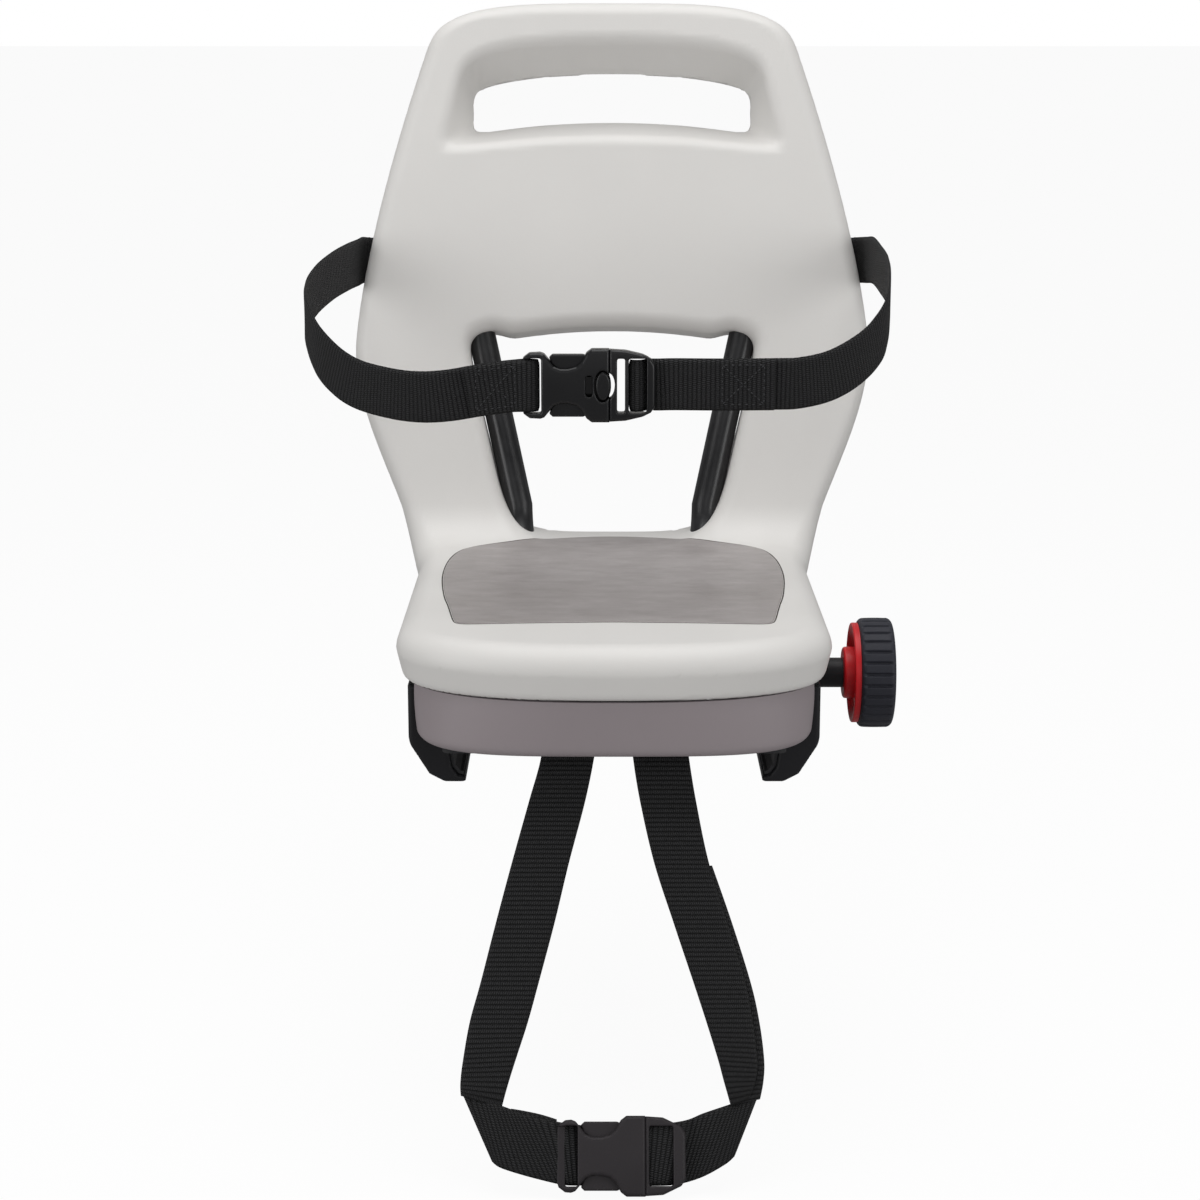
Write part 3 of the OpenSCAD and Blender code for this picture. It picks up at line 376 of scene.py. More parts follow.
def math_node(tree, kind, a, b=0.5):
    """One step of arithmetic on numbers or sockets."""
    node = tree.nodes.new("ShaderNodeMath")
    node.operation = kind
    for socket, value in zip(node.inputs, (a, b)):
        if isinstance(value, (int, float)):
            socket.default_value = value
        else:
            tree.links.new(value, socket)
    return node.outputs[0]


def moulded(name, colour, rough, grain=1400.0, depth=0.00004, cloud=0.03, specular=0.5):
    """Moulded plastic: clouded colour, uneven gloss and a fine grain."""
    finish, tree, shader = new_finish(name)
    where = tree.nodes.new("ShaderNodeTexCoord").outputs["Object"]
    dark = [c * (1 - cloud) for c in colour]
    light = [min(1.0, c * (1 + cloud)) for c in colour]
    tree.links.new(ramp(tree, noise(tree, where, 14.0), [(0.3, dark), (0.7, light)]),
                   shader.inputs["Base Color"])
    patches = noise(tree, where, 60.0, 4.0)
    tree.links.new(scaled(tree, patches, rough - 0.06, rough + 0.06), shader.inputs["Roughness"])
    fine = noise(tree, where, grain, 2.0, 0.6)
    tree.links.new(bump(tree, fine, 0.5, depth), shader.inputs["Normal"])
    shader.inputs["Specular IOR Level"].default_value = specular
    return finish


shell_finish = moulded("pale_moulding", (0.76, 0.745, 0.722), 0.46, 900.0, 0.00007, 0.012, 0.4)
# The tray's base colour is darkened far below the seat's pale plastic: painted shade on its downward-facing
# front.
tray_painted_shade_finish = moulded("tray_moulding_painted_shade", (0.31, 0.272, 0.284), 0.5, 1100.0, 0.00005, 0.02, 0.25)
black_finish = moulded("black_nylon", (0.012, 0.012, 0.014), 0.45, 1300.0, 0.00005, 0.2, 0.25)
buckle_finish = moulded("belt_buckle_black", (0.006, 0.006, 0.007), 0.33, 1500.0, 0.00004, 0.2, 0.4)
strap_buckle_finish = moulded("strap_buckle_black", (0.032, 0.028, 0.031), 0.5, 1100.0, 0.00009, 0.2, 0.25)
red_finish = moulded("red_plastic", (0.62, 0.012, 0.018), 0.38, 900.0, 0.00002, 0.04, 0.35)
grip_finish = moulded("grip_rubber", (0.026, 0.027, 0.036), 0.55, 1200.0, 0.00006, 0.12, 0.25)
rubber_finish = moulded("jaw_rubber", (0.02, 0.02, 0.022), 0.75, 900.0, 0.00012, 0.2)
print("plastics:", [m.name for m in bpy.data.materials][-8:])

# %% [markdown]
# The moulding is drawn the way a pattern maker would unroll it: t runs from the nose
# up the face, and d goes in behind the face. Between pan and backrest the sheet
# turns through 75 degrees on an inner radius of 26 mm. The outline, the rounded
# rim and the two windows are then fields in those flat coordinates.

# %% The moulding's flat coordinates
SEAT_TOP, NOSE_Y, BACK_Y = 54.0, -86.0, 154.0
RECLINE, BEND, BEND_ANGLE = math.radians(15), 26.0, math.radians(75)
Y_BEND = 134.05
T_BEND = 220.05
T_BACK = T_BEND + BEND * BEND_ANGLE
S_BEND = 19.95


def up_the_back(p):
    """s up the backrest's face and depth d behind it, for a point anywhere."""
    y, z = p[:, 1] - BACK_Y, p[:, 2] - SEAT_TOP
    return (y * math.sin(RECLINE) + z * math.cos(RECLINE),
            y * math.cos(RECLINE) - z * math.sin(RECLINE))


def unrolled(p):
    """t and d of a point: flat on the pan, by angle and radius round the bend, and flat
    again up the back."""
    y, z = p[:, 1] - Y_BEND, p[:, 2] - (SEAT_TOP + BEND)
    angle = np.arctan2(y, -z)
    s, d_back = up_the_back(p)
    on_pan, on_back = y < 0, angle > BEND_ANGLE
    t = np.where(on_pan, p[:, 1] - NOSE_Y, np.where(on_back, s - S_BEND + T_BACK, T_BEND + BEND * angle))
    d = np.where(on_pan, -p[:, 2] + SEAT_TOP, np.where(on_back, d_back, np.hypot(y, z) - BEND))
    return t, d


HALF_PAN, HALF_BACK = 102.0, 139.5
NOSE_ROUND, TOP_ROUND = 60.0, 29.0
T_WIDE = 105.0 - S_BEND + T_BACK
T_TOP = 295.0 - S_BEND + T_BACK - TOP_ROUND
T_FLARE = 201.05
FUNNEL_DEPTH = 25.0
SILL_HALF = 55.5


def half_width(t):
    """Half the moulding's width: level along the pan, widening smoothly to the
    broadest place of the back, then narrowing as a power of the height."""
    widen = mix(HALF_PAN, HALF_BACK, smooth((t - T_FLARE) / (T_WIDE - T_FLARE)))
    above = np.maximum(t - T_WIDE, 0.0)
    return widen - 0.026 * above ** 1.43


def outline(x, t):
    """Zero on the moulding's outline: a superellipse at the nose and at the top, the
    half width between them."""
    nose = np.maximum((NOSE_ROUND - t) / NOSE_ROUND, 0.0)
    top = np.maximum((t - T_TOP) / TOP_ROUND, 0.0)
    power = np.where(t < NOSE_ROUND, 2.5, 3.5)
    across = np.abs(x) / half_width(np.clip(t, 0, T_TOP + 40))
    return (across ** power + nose ** power + top ** power) ** (1 / power) - 1


def superellipse(u, v, power):
    """Zero where |u| and |v|, each raised to the power, add up to one."""
    return (np.abs(u) ** power + np.abs(v) ** power) ** (1 / power) - 1


def handle_window(x, s, d):
    """Zero on the carrying handle's opening at depth d: a funnel. Its mouth is a wide
    arch with slanting ends, and it closes evenly to a slot whose ends droop."""
    deep = np.clip(d / FUNNEL_DEPTH, 0.0, 1.0)
    middle = 246.5 - mix(4.15 * (x / 70.0) ** 2, 3.4 * (x / 55.0) ** 2, deep)
    v = (s - middle) / mix(26.8, 13.4, deep)
    u = x / mix(86.6 - 0.257 * (s - 240.5), 76.4, deep)
    return superellipse(u, v, np.where(v > 0, 5.5, 11.0))


def lower_window(x, q):
    """Zero on the lower window: straight flaring sides, a slightly arched head and a
    level sill at q = 0."""
    head = 117.0 - 5.6 * (x / 63.0) ** 2 + 4.5 * smooth((np.abs(x) - 52.0) / 15.0)
    u = x / (SILL_HALF + 0.2116 * q)
    v = 2 * q / head - 1
    return superellipse(u, v, np.where(v > 0, 14.0, 5.0))


print("the bend runs from t", T_BEND, "to", round(T_BACK, 2), "and is broadest at", round(T_WIDE, 2))

# %% [markdown]
# Three fields make the part. The rim is rounded 12 mm on the pan and 9 mm on the back,
# and below it tucks in towards the parting line. The handle's opening narrows like a
# funnel, with a lip soft enough for fingers. The lower window starts level with the pan, so its rounding
# fades out towards the sill.

# %% The seat shell
PAN_THICK, BACK_THICK = 25.0, 28.0
PAN_RIM, BACK_RIM = 12.0, 9.0


def shell_field(p):
    """Negative inside the moulding: the sheet between its face and its back, less the
    handle's funnel, less the lower window."""
    t, d = unrolled(p)
    s, d_back = up_the_back(p)
    x = p[:, 0]
    turn = smooth((t - T_BEND) / 34.0)
    thick = mix(PAN_THICK, BACK_THICK, turn)
    rim = mix(PAN_RIM, BACK_RIM, turn)
    taper = 0.24 * np.clip(d - PAN_RIM, 0.0, PAN_THICK - PAN_RIM) * (1 - turn)
    side = level(outline, x, t) + taper
    rise, tuck = mix(3.0, BACK_RIM, turn), mix(1.8, BACK_RIM, turn)
    body = np.where(d < thick - rise, corner(side, -d, rim), corner(side, d - thick, tuck, rise))
    lip = np.where(d_back < 14, 4.5, 2.5)
    body = cut(body, level(lambda a, b: handle_window(a, b, d_back), x, s), lip)
    rise_z = (p[:, 2] - SEAT_TOP) / math.cos(RECLINE)
    q = mix(rise_z, s, smooth((rise_z - 20) / 60))
    hole = np.where(p[:, 1] > 120, level(lower_window, x, q), 50.0)
    sideways = np.abs(level(lower_window, np.abs(x) + 1.0, q) - level(lower_window, np.abs(x), q))
    soft = mix(0.3, 6.5, smooth(1.25 * sideways))
    soft = np.maximum(soft, 8.0 * smooth((rise_z - 70) / 30))
    soft = np.maximum(mix(soft, 4.0, smooth((d_back - 9) / 8) * smooth(rise_z / 6)), 0.3)
    return cut(body, hole, soft)


shell = add_skin("seat_shell_skin", shell_field, (-146, -92, 22), (146, 262, 344), 2.4)
place(shell, shell_finish, "seat", "shell", "seat_shell")

# %% [markdown]
# The pad is a thin soft sheet let into the pan. Its outline bulges at the sides and
# has tight front corners. Points on rings between the outline and the middle are
# dropped onto the moulding, so the pad follows the start of the bend. A narrow
# dark strip all round it is a painted shadow of the joint.

# %% The seat pad and its joint
def spline(knots, count, closed=True):
    """Smooth curve through given knots: each span is a cubic whose end slopes
    are half the step between the knots to either side."""
    knots = np.asarray(knots, float)
    spans = len(knots) if closed else len(knots) - 1
    u = np.linspace(0, spans, count, endpoint=not closed)
    i = np.minimum(u.astype(int), spans - 1)
    f = (u - i)[:, None]
    pick = (lambda k: knots[k % len(knots)]) if closed else (lambda k: knots[np.clip(k, 0, spans)])
    a, b, c, d = pick(i - 1), pick(i), pick(i + 1), pick(i + 2)
    return b + 0.5 * f * (c - a + f * (2 * a - 5 * b + 4 * c - d + f * (3 * (b - c) + d - a)))


pad_right = [
    (0, -33.2), (20, -34.0), (38, -34.9), (56, -36.2), (66, -37.0), (70.8, -36.6), (73.4, -34.6),
    (74.8, -30), (76, -22), (79, 0), (82, 20), (84.8, 50), (85.8, 74), (85.2, 98), (83.2, 116),
    (80.2, 128), (76.4, 135), (70, 139), (60, 142), (50, 144.5), (40, 149), (31, 156.5),
    (24, 160.5), (12, 163.8), (0, 164.6)]
pad_knots = pad_right + [(-x, y) for x, y in pad_right[-2:0:-1]]
pad_edge = spline(pad_knots, 360)


def drop_onto(field, xy, gap, start):
    """Height over each place (x, y) where the field, coming down from start, reaches gap."""
    z = np.full(len(xy), float(start))
    for _ in range(60):
        z -= field(np.column_stack([xy, z])) - gap
    return z


def inward(edge, amount):
    """The outline moved in by an amount along its own normal."""
    along = np.roll(edge, -1, 0) - np.roll(edge, 1, 0)
    normal = np.stack([-along[:, 1], along[:, 0]], -1) / np.linalg.norm(along, axis=1)[:, None]
    return edge + normal * np.asarray(amount)


ABOVE_PAN = 66.0
PAD_RINGS = 42
PAD_LIFT = 0.45
pad_middle = np.array([0.0, 60.0])
rings = [pad_edge, inward(pad_edge, 0.05), inward(pad_edge, 0.25), inward(pad_edge, 0.7)]
base_ring = inward(pad_edge, 1.4)
rings += [pad_middle + (base_ring - pad_middle) * r for r in np.linspace(1, 0.02, PAD_RINGS) ** 0.8]
flat = np.concatenate(rings)
lift = np.repeat([-1.0, 0.12, 0.36, PAD_LIFT] + [PAD_LIFT] * PAD_RINGS, len(pad_edge))
pad_z = drop_onto(shell_field, flat, 0.0, ABOVE_PAN) + lift
pad_points = np.column_stack([flat, pad_z])
pad_faces = grid_faces(len(rings), len(pad_edge), close_cols=True)
last = (len(rings) - 1) * len(pad_edge)
tip = len(pad_points)
ring_ids = last + np.arange(len(pad_edge))
pad_points = np.vstack([pad_points, [[*pad_middle, pad_z[last]]]])
fan = np.column_stack([ring_ids, np.roll(ring_ids, -1), np.full(len(ring_ids), tip)])
tris = np.concatenate([pad_faces[:, [0, 1, 2]], pad_faces[:, [0, 2, 3]], fan])
pad = add_mesh("pad_sheet", pad_points, tris)

# A thin dark strip laid on the moulding round the pad: a painted shadow of the groove at its edge.
joint_rings = [inward(pad_edge, k) for k in (0.1, -0.2, -0.75, -0.95)]
joint_flat = np.concatenate(joint_rings)
joint_lift = np.repeat([-0.3, 0.05, 0.05, -0.2], len(pad_edge))
joint_z = drop_onto(shell_field, joint_flat, 0.0, ABOVE_PAN) + joint_lift
joint = add_mesh("pad_joint", np.column_stack([joint_flat, joint_z]),
                 grid_faces(len(joint_rings), len(pad_edge), close_cols=True)[:, ::-1])

# %% [markdown]
# The pad's rubber looks brushed: faint streaks run across it, with broad cloudy
# patches under them and a soft shine where the light grazes it.

# %% Finish of the pad
def brushed_rubber(name):
    """Taupe rubber with streaks across and clouds under them."""
    finish, tree, shader = new_finish(name)
    where = tree.nodes.new("ShaderNodeTexCoord").outputs["Object"]
    streaks = noise(tree, where, 60.0, 8.0, 0.7, (1.0, 2.2, 1.0))
    clouds = noise(tree, where, 9.0, 3.0, 0.5, (1.0, 1.3, 1.0))
    half = math_node(tree, "MULTIPLY", math_node(tree, "ADD", streaks, clouds), 0.5)
    taupes = [(0.34, (0.265, 0.240, 0.232)), (0.52, (0.345, 0.318, 0.312)), (0.68, (0.430, 0.402, 0.396))]
    tree.links.new(ramp(tree, half, taupes), shader.inputs["Base Color"])
    tree.links.new(scaled(tree, clouds, 0.36, 0.56), shader.inputs["Roughness"])
    grain = noise(tree, where, 700.0, 3.0, 0.6)
    first = bump(tree, grain, 0.5, 0.00006)
    tree.links.new(bump(tree, streaks, 0.35, 0.0004, first), shader.inputs["Normal"])
    return finish


pad_finish = brushed_rubber("pad_rubber")
joint_finish = moulded("joint_shadow", (0.055, 0.045, 0.04), 0.8, 900.0, 0.00005, 0.1, 0.2)
place(pad, pad_finish, "seat", "pad", "seat_pad")
place(joint, joint_finish, "seat", "pad")

# %% [markdown]
# The tray under the pan is a thin-walled tub. Its outline shrinks towards the floor
# and the edge down there is rolled. Rings of one outline, first down the outside, then
# across the floor and up the inside, make a closed skin. The bays for the jaws and
# the slots for the strap are then cut with boxes.

# %% The tray
TRAY_TOP, TRAY_LOW, TRAY_REAR = 28.2, 2.0, 128.0
TRAY_WALL, TRAY_ROLL = 3.0, 4.0
TRAY_FLOOR = TRAY_LOW + TRAY_WALL
AROUND = 240


def tray_ring(z, extra, count=AROUND):
    """The tray's outline at height z, drawn in by extra: superellipse ends on straight
    sides, which get squarer as they go down."""
    z = np.clip(z, TRAY_LOW, TRAY_TOP)
    u = (TRAY_TOP - z) / (TRAY_TOP - TRAY_LOW)
    low = max(0.0, TRAY_LOW + TRAY_ROLL - z)
    roll = TRAY_ROLL - math.sqrt(max(0.0, TRAY_ROLL ** 2 - low * low))
    side = HALF_PAN - (5.0 + 4.6 * u + roll + extra)
    ends = 4.2 + 1.2 * u + 0.7 * roll + extra
    front, rear = NOSE_Y + ends, TRAY_REAR - ends
    a = np.linspace(0, 2 * math.pi, count, endpoint=False)
    quarter = lambda v: np.sign(v) * np.abs(v) ** (2 / mix(2.5, 3.7, u))
    x = side * quarter(np.sin(a))
    c = quarter(np.cos(a))
    y = np.where(c > 0, front + NOSE_ROUND * (1 - c), rear - 38.0 * (1 + c))
    return np.column_stack([x, y, np.full(count, z)])


def shrunk(ring, part):
    """The ring pulled towards its own middle."""
    middle = ring.mean(0)
    out = middle + (ring - middle) * part
    out[:, 2] = ring[:, 2]
    return out


rolled = np.sin(np.radians(np.arange(15, 91, 15)))
shares = (0.9, 0.6, 0.3, 0.02)
outside = np.concatenate([np.linspace(TRAY_TOP, 6, 12), 6 - TRAY_ROLL * rolled])
inside = np.concatenate([7 - 2 * rolled[-2::-1], np.linspace(7, TRAY_TOP, 10)])
down = [tray_ring(z, 0.0) for z in outside]
up = [tray_ring(z, TRAY_WALL) for z in inside]
floor_out = [shrunk(down[-1], share) for share in shares]
floor_in = [shrunk(tray_ring(TRAY_FLOOR, TRAY_WALL), share) for share in shares[::-1]]
tray_rings = down + floor_out + floor_in + up
tray = add_mesh("tray_skin", np.concatenate(tray_rings), grid_faces(len(tray_rings), AROUND, True, True))


def box_tool(name, low, high):
    """A plain block to cut with, in millimetres."""
    return add_mesh(name, box_corners(low, high), BOX_QUADS, smooth=False)


def apply_modifiers(piece):
    """The piece's mesh as its modifiers leave it, with the modifiers gone."""
    bpy.context.view_layer.update()
    done = bpy.data.meshes.new_from_object(piece.evaluated_get(bpy.context.evaluated_depsgraph_get()))
    piece.modifiers.clear()
    piece.data = done


def carve(piece, tools):
    """Takes each tool's block out of the piece."""
    for tool in tools:
        step = piece.modifiers.new("cut", "BOOLEAN")
        step.operation, step.solver, step.object = "DIFFERENCE", "EXACT", tool
        apply_modifiers(piece)
        bpy.data.objects.remove(tool)


def smooth_up_to(mesh, degrees):
    """Shades a mesh smooth, but keeps edges that turn by more than an angle."""
    mesh.polygons.foreach_set("use_smooth", np.full(len(mesh.polygons), True))
    mesh.set_sharp_from_angle(angle=math.radians(degrees))


bays = [((45.5, -46.5, -1), (120, 46.5, 40)), ((-120, -46.5, -1), (-45.5, 46.5, 40))]
slots = [((6, -57.5, -1), (36, -50.5, 7)), ((-36, -57.5, -1), (-6, -50.5, 7))]
carve(tray, [box_tool(f"tool_{k}", low, high) for k, (low, high) in enumerate(bays + slots)])
smooth_up_to(tray.data, 35)
tray.data.materials.clear()
place(tray, tray_painted_shade_finish, "seat", "cover", "base_cover")

# %% [markdown]
# The bent tube stands bare in the lower window, just clear of its sides. It is a
# circle carried along a route: each ring is set by the direction of travel, and the
# route is worked out in the same flat coordinates as the moulding.

# %% The bent tube
def fold(flat_points):
    """Points (x, t, d) of the flat drawing carried round the bend into space."""
    x, t, d = flat_points.T
    a = np.clip((t - T_BEND) / BEND, 0, BEND_ANGLE)
    q = np.maximum(t - T_BACK, 0)
    r = BEND + d
    y = np.where(t < T_BEND, t + NOSE_Y, Y_BEND + r * np.sin(a) + q * np.sin(RECLINE))
    z = np.where(t < T_BEND, SEAT_TOP - d, SEAT_TOP + BEND - r * np.cos(a) + q * np.cos(RECLINE))
    return np.column_stack([x, y, z])


def swept(path, profile, side):
    """A profile of (across, out) pairs carried along a path, its ends closed. side is
    the direction, per point of the path, that the profile's first coordinate takes."""
    along = heading(path)
    side = side - (side * along).sum(1)[:, None] * along
    side /= np.linalg.norm(side, axis=1)[:, None]
    out = np.cross(side, along)
    prof = np.asarray(profile, float)
    rings = path[:, None, :] + prof[None, :, 0:1] * side[:, None, :] + prof[None, :, 1:2] * out[:, None, :]
    return capped(rings, [path[0], path[-1]])


FLARE, TUBE_HALF, TUBE_TOP = 0.218, 46.5, 192.0
TUBE_BEND, TUBE_R, TUBE_DEPTH = 30.0, 7.5, 14.0
angle = math.atan(FLARE)
reach = TUBE_BEND * math.tan((math.pi / 2 + angle) / 2)
top_s = TUBE_TOP - reach * math.cos(angle)
mid_x = TUBE_HALF + FLARE * top_s - TUBE_BEND * math.cos(angle)
bend_u, top_turn = np.linspace(0, 1, 14)[1:], np.linspace(-angle, math.pi / 2, 14)[1:]
straight_s = np.linspace(S_BEND, top_s, 14)[1:]
leg = np.concatenate([
    np.column_stack([np.full(5, TUBE_HALF), np.linspace(62, T_BEND, 5)]),
    np.column_stack([TUBE_HALF + FLARE * S_BEND * smooth(bend_u), T_BEND + (T_BACK - T_BEND) * bend_u]),
    np.column_stack([TUBE_HALF + FLARE * straight_s, T_BACK - S_BEND + straight_s]),
    np.column_stack([mid_x + TUBE_BEND * np.cos(top_turn),
                     T_BACK - S_BEND + TUBE_TOP - TUBE_BEND + TUBE_BEND * np.sin(top_turn)])])
route = np.vstack([leg, leg[::-1] * [-1, 1]])
tube_path = fold(np.column_stack([route, np.full(len(route), TUBE_DEPTH)]))
above = fold(np.column_stack([route, np.full(len(route), TUBE_DEPTH - 1)])) - tube_path
circle = np.linspace(0, 2 * math.pi, 40, endpoint=False)
points, faces = swept(tube_path, TUBE_R * np.column_stack([np.cos(circle), np.sin(circle)]), above)
tube = add_mesh("bent_tube", points, faces)


def painted_tube(name):
    """Black powder coat: a slight orange-peel, a little dust in the gloss."""
    finish, tree, shader = new_finish(name)
    where = tree.nodes.new("ShaderNodeTexCoord").outputs["Object"]
    peel = noise(tree, where, 320.0, 2.0)
    dust = noise(tree, where, 90.0, 5.0, 0.7)
    tree.links.new(ramp(tree, dust, [(0.35, (0.008, 0.008, 0.009)), (0.75, (0.018, 0.018, 0.02))]),
                   shader.inputs["Base Color"])
    tree.links.new(scaled(tree, dust, 0.24, 0.38), shader.inputs["Roughness"])
    tree.links.new(bump(tree, peel, 0.4, 0.00008), shader.inputs["Normal"])
    return finish


place(tube, painted_tube("powder_coat"), "seat", "tube", "frame_tube")

# %% [markdown]
# The knob is turned work: a profile of radius and length spun round the spindle. The
# grip's outer wall dips into thirty grooves, so its radius is the profile less a
# narrow dent that repeats with the angle and fades at both faces.

# %% The knob
AXIS_Y, AXIS_Z = 8.0, 19.0


def turned(profile, count, dent=None):
    """Points and quads of a profile of (x, r) pairs spun round the spindle's axis."""
    profile = np.asarray(profile, float)
    a = np.linspace(0, 2 * math.pi, count, endpoint=False)
    r = np.repeat(profile[None, :, 1], count, 0)
    x = np.repeat(profile[None, :, 0], count, 0)
    if dent is not None:
        r = r - dent(a[:, None], x, r)
    pts = np.stack([x, AXIS_Y + r * np.sin(a)[:, None], AXIS_Z + r * np.cos(a)[:, None]], -1)
    return pts.reshape(-1, 3), grid_faces(count, len(profile), True, False)


def arc(cx, cr, radius, start, end, steps=8):
    """Part of a circle in (x, r), from one angle to another in degrees."""
    a = np.radians(np.linspace(start, end, steps))
    return list(zip(cx + radius * np.cos(a), cr + radius * np.sin(a)))


KNOB_IN = 111.0
GRIP_IN, GRIP_OUT = KNOB_IN + 7.0, KNOB_IN + 23.5
GRIP_R, GROOVES = 26.5, 30
grip_wall = [(x, GRIP_R - 0.2 + 0.25 * math.sin(math.pi * (x - GRIP_IN) / (GRIP_OUT - GRIP_IN)))
             for x in np.linspace(GRIP_IN + 3.2, GRIP_OUT - 3.6, 12)]
grip_profile = ([(GRIP_IN + 0.1, 22.0)] + arc(GRIP_IN + 2.6, 23.9, 2.5, 180, 100, 9) + grip_wall
                + arc(GRIP_OUT - 3.0, 23.5, 3.0, 82, 0, 10) + [(GRIP_OUT, 22.0), (GRIP_IN + 0.1, 22.0)])


def grooves(a, x, r):
    """Depth of the thirty grooves: a rounded dip at each, faded towards the faces."""
    phase = np.abs((a * GROOVES / (2 * math.pi)) % 1.0 - 0.5) * 2
    across = np.clip(phase * (2 * math.pi * GRIP_R / GROOVES) / 2 / 0.95, 0, 1)
    dip = 1.15 * (1 - across ** 3)
    fade = smooth((x - GRIP_IN - 0.6) / 2.2) * smooth((GRIP_OUT - 0.9 - x) / 2.4) * (r > 23.0)
    return dip * fade


points, faces = turned(grip_profile, 900, grooves)
grip = add_mesh("knob_grip_ribbed", points, faces[:, ::-1])
place(grip, grip_finish, "knob", "grip", "knob_grip")

hub_profile = (
    [(KNOB_IN, 4.1)] + [(KNOB_IN, 10.9)] + arc(KNOB_IN + 1.3, 11.2, 1.3, 180, 90, 6)
    + [(KNOB_IN + 4, 12.5), (KNOB_IN + 21.3, 12.5), (KNOB_IN + 22, 11.8), (KNOB_IN + 22, 4.1),
       (KNOB_IN, 4.1)])
hub_points, hub_faces = turned(hub_profile, 96)
rim_profile = (
    [(KNOB_IN + 4.0, 22.4)] + arc(KNOB_IN + 4.7, 23.5, 0.7, 180, 90, 5)
    + [(KNOB_IN + 7.0, 24.2), (KNOB_IN + 7.0, 21.7), (KNOB_IN + 23.3, 21.7), (KNOB_IN + 23.3, 18.9),
       (KNOB_IN + 7.2, 18.9), (KNOB_IN + 5.2, 20.3), (KNOB_IN + 4.0, 22.4)])
rim_points, rim_faces = turned(rim_profile, 128)


def block(low, high, turn_by):
    """A spoke: a block laid radially and turned round the spindle."""
    p = box_corners(low, high)
    a = math.radians(turn_by)
    y = AXIS_Y + p[:, 1] * math.cos(a) - p[:, 2] * math.sin(a)
    z = AXIS_Z + p[:, 1] * math.sin(a) + p[:, 2] * math.cos(a)
    return np.column_stack([p[:, 0], y, z]), BOX_QUADS


spokes = [block((KNOB_IN + 8, -1.5, 11.5), (KNOB_IN + 21, 1.5, 19.6), 60 * k + 30) for k in range(6)]
points, faces = joined([(hub_points, hub_faces[:, ::-1]), (rim_points, rim_faces[:, ::-1])] + spokes)
wheel = add_mesh("knob_wheel_spun", points, faces)
wheel.data.set_sharp_from_angle(angle=math.radians(40))
place(wheel, red_finish, "knob", "red", "knob_wheel")

# %% [markdown]
# Webbing is woven: rows of ribs run across it, and every rib is a row of small
# humps where the warp passes over the weft. Its colour holds a painted highlight on
# the humps and painted shade between them. The ribbon is a flat profile with
# rounded edges carried along its route. Its UV map holds centimetres along and
# across, and the weave reads only that map, so it follows every turn.

# %% Webbing and its weave
def ribbon(path, up, width, thick, rows_across=13):
    """A ribbon along a path: points, faces and a UV map in centimetres. up is the
    direction across the webbing at each point."""
    u = np.linspace(-1, 1, rows_across)
    edge = np.sqrt(np.clip(1 - np.abs(u) ** 9, 0, 1))
    across = u * width / 2
    front = np.column_stack([across, edge * thick / 2])
    back = np.column_stack([across[::-1], -edge[::-1] * thick / 2])
    profile = np.vstack([front, back[1:-1]])
    points, tri = swept(path, profile, up)
    uv = np.column_stack([np.repeat(run_along(path), len(profile)), np.tile(profile[:, 0], len(path))]) / 10.0
    uv = np.vstack([uv, uv[0:1], uv[-1:]])
    return points, tri, uv


def even(path, step):
    """The same route with points an even step apart."""
    run = run_along(path)
    at = np.linspace(0, run[-1], max(2, int(run[-1] / step)))
    return np.column_stack([np.interp(at, run, path[:, k]) for k in range(path.shape[1])])


def woven(name, rib=2.2, warp=1.0, light=0.032, dark=0.0010):
    """Black webbing: ribs across, humps along each rib, thread colour that varies, and a painted highlight on
    the humps with painted shade between them.
    """
    finish, tree, shader = new_finish(name)
    uv = tree.nodes.new("ShaderNodeUVMap").outputs["UV"]
    apart = tree.nodes.new("ShaderNodeSeparateXYZ")
    tree.links.new(uv, apart.inputs[0])

    def step(kind, *given):
        return math_node(tree, kind, *given)

    def wave(value):
        return step("ABSOLUTE", step("SINE", step("MULTIPLY", value, math.pi)))

    along = step("MULTIPLY", apart.outputs["X"], 10.0 / rib)
    over = step("MULTIPLY", apart.outputs["Y"], 10.0 / warp)
    shifted = step("ADD", over, step("MULTIPLY", step("FLOOR", along), 0.5))
    hump = step("MULTIPLY", step("POWER", wave(along), 0.6), step("POWER", wave(shifted), 0.5))
    where = tree.nodes.new("ShaderNodeTexCoord").outputs["Object"]
    fuzz = noise(tree, where, 1800.0, 2.0, 0.7)
    height = step("ADD", hump, step("MULTIPLY", fuzz, 0.25))
    # The colour is the threads' varying tone times a painted highlight on each hump, dark as painted shade
    # between the humps.
    thread_tone_and_hump_highlight = step("MULTIPLY", hump, step("ADD", step("MULTIPLY", fuzz, 0.9), 0.4))
    tree.links.new(ramp(tree, thread_tone_and_hump_highlight, [(0.1, (dark, dark, dark * 1.1)), (0.85, (light, light, light * 1.05))]),
                   shader.inputs["Base Color"])
    shader.inputs["Roughness"].default_value = 0.72
    shader.inputs["Sheen Weight"].default_value = 0.05
    shader.inputs["Sheen Roughness"].default_value = 0.4
    shader.inputs["Specular IOR Level"].default_value = 0.2
    tree.links.new(bump(tree, height, 0.9, 0.0008), shader.inputs["Normal"])
    return finish


web_finish = woven("belt_weave_and_painted_highlight")
thread_finish = moulded("thread", (0.03, 0.03, 0.033), 0.6, 2000.0, 0.0001, 0.3)
print("finishes for webbing:", web_finish.name, thread_finish.name)
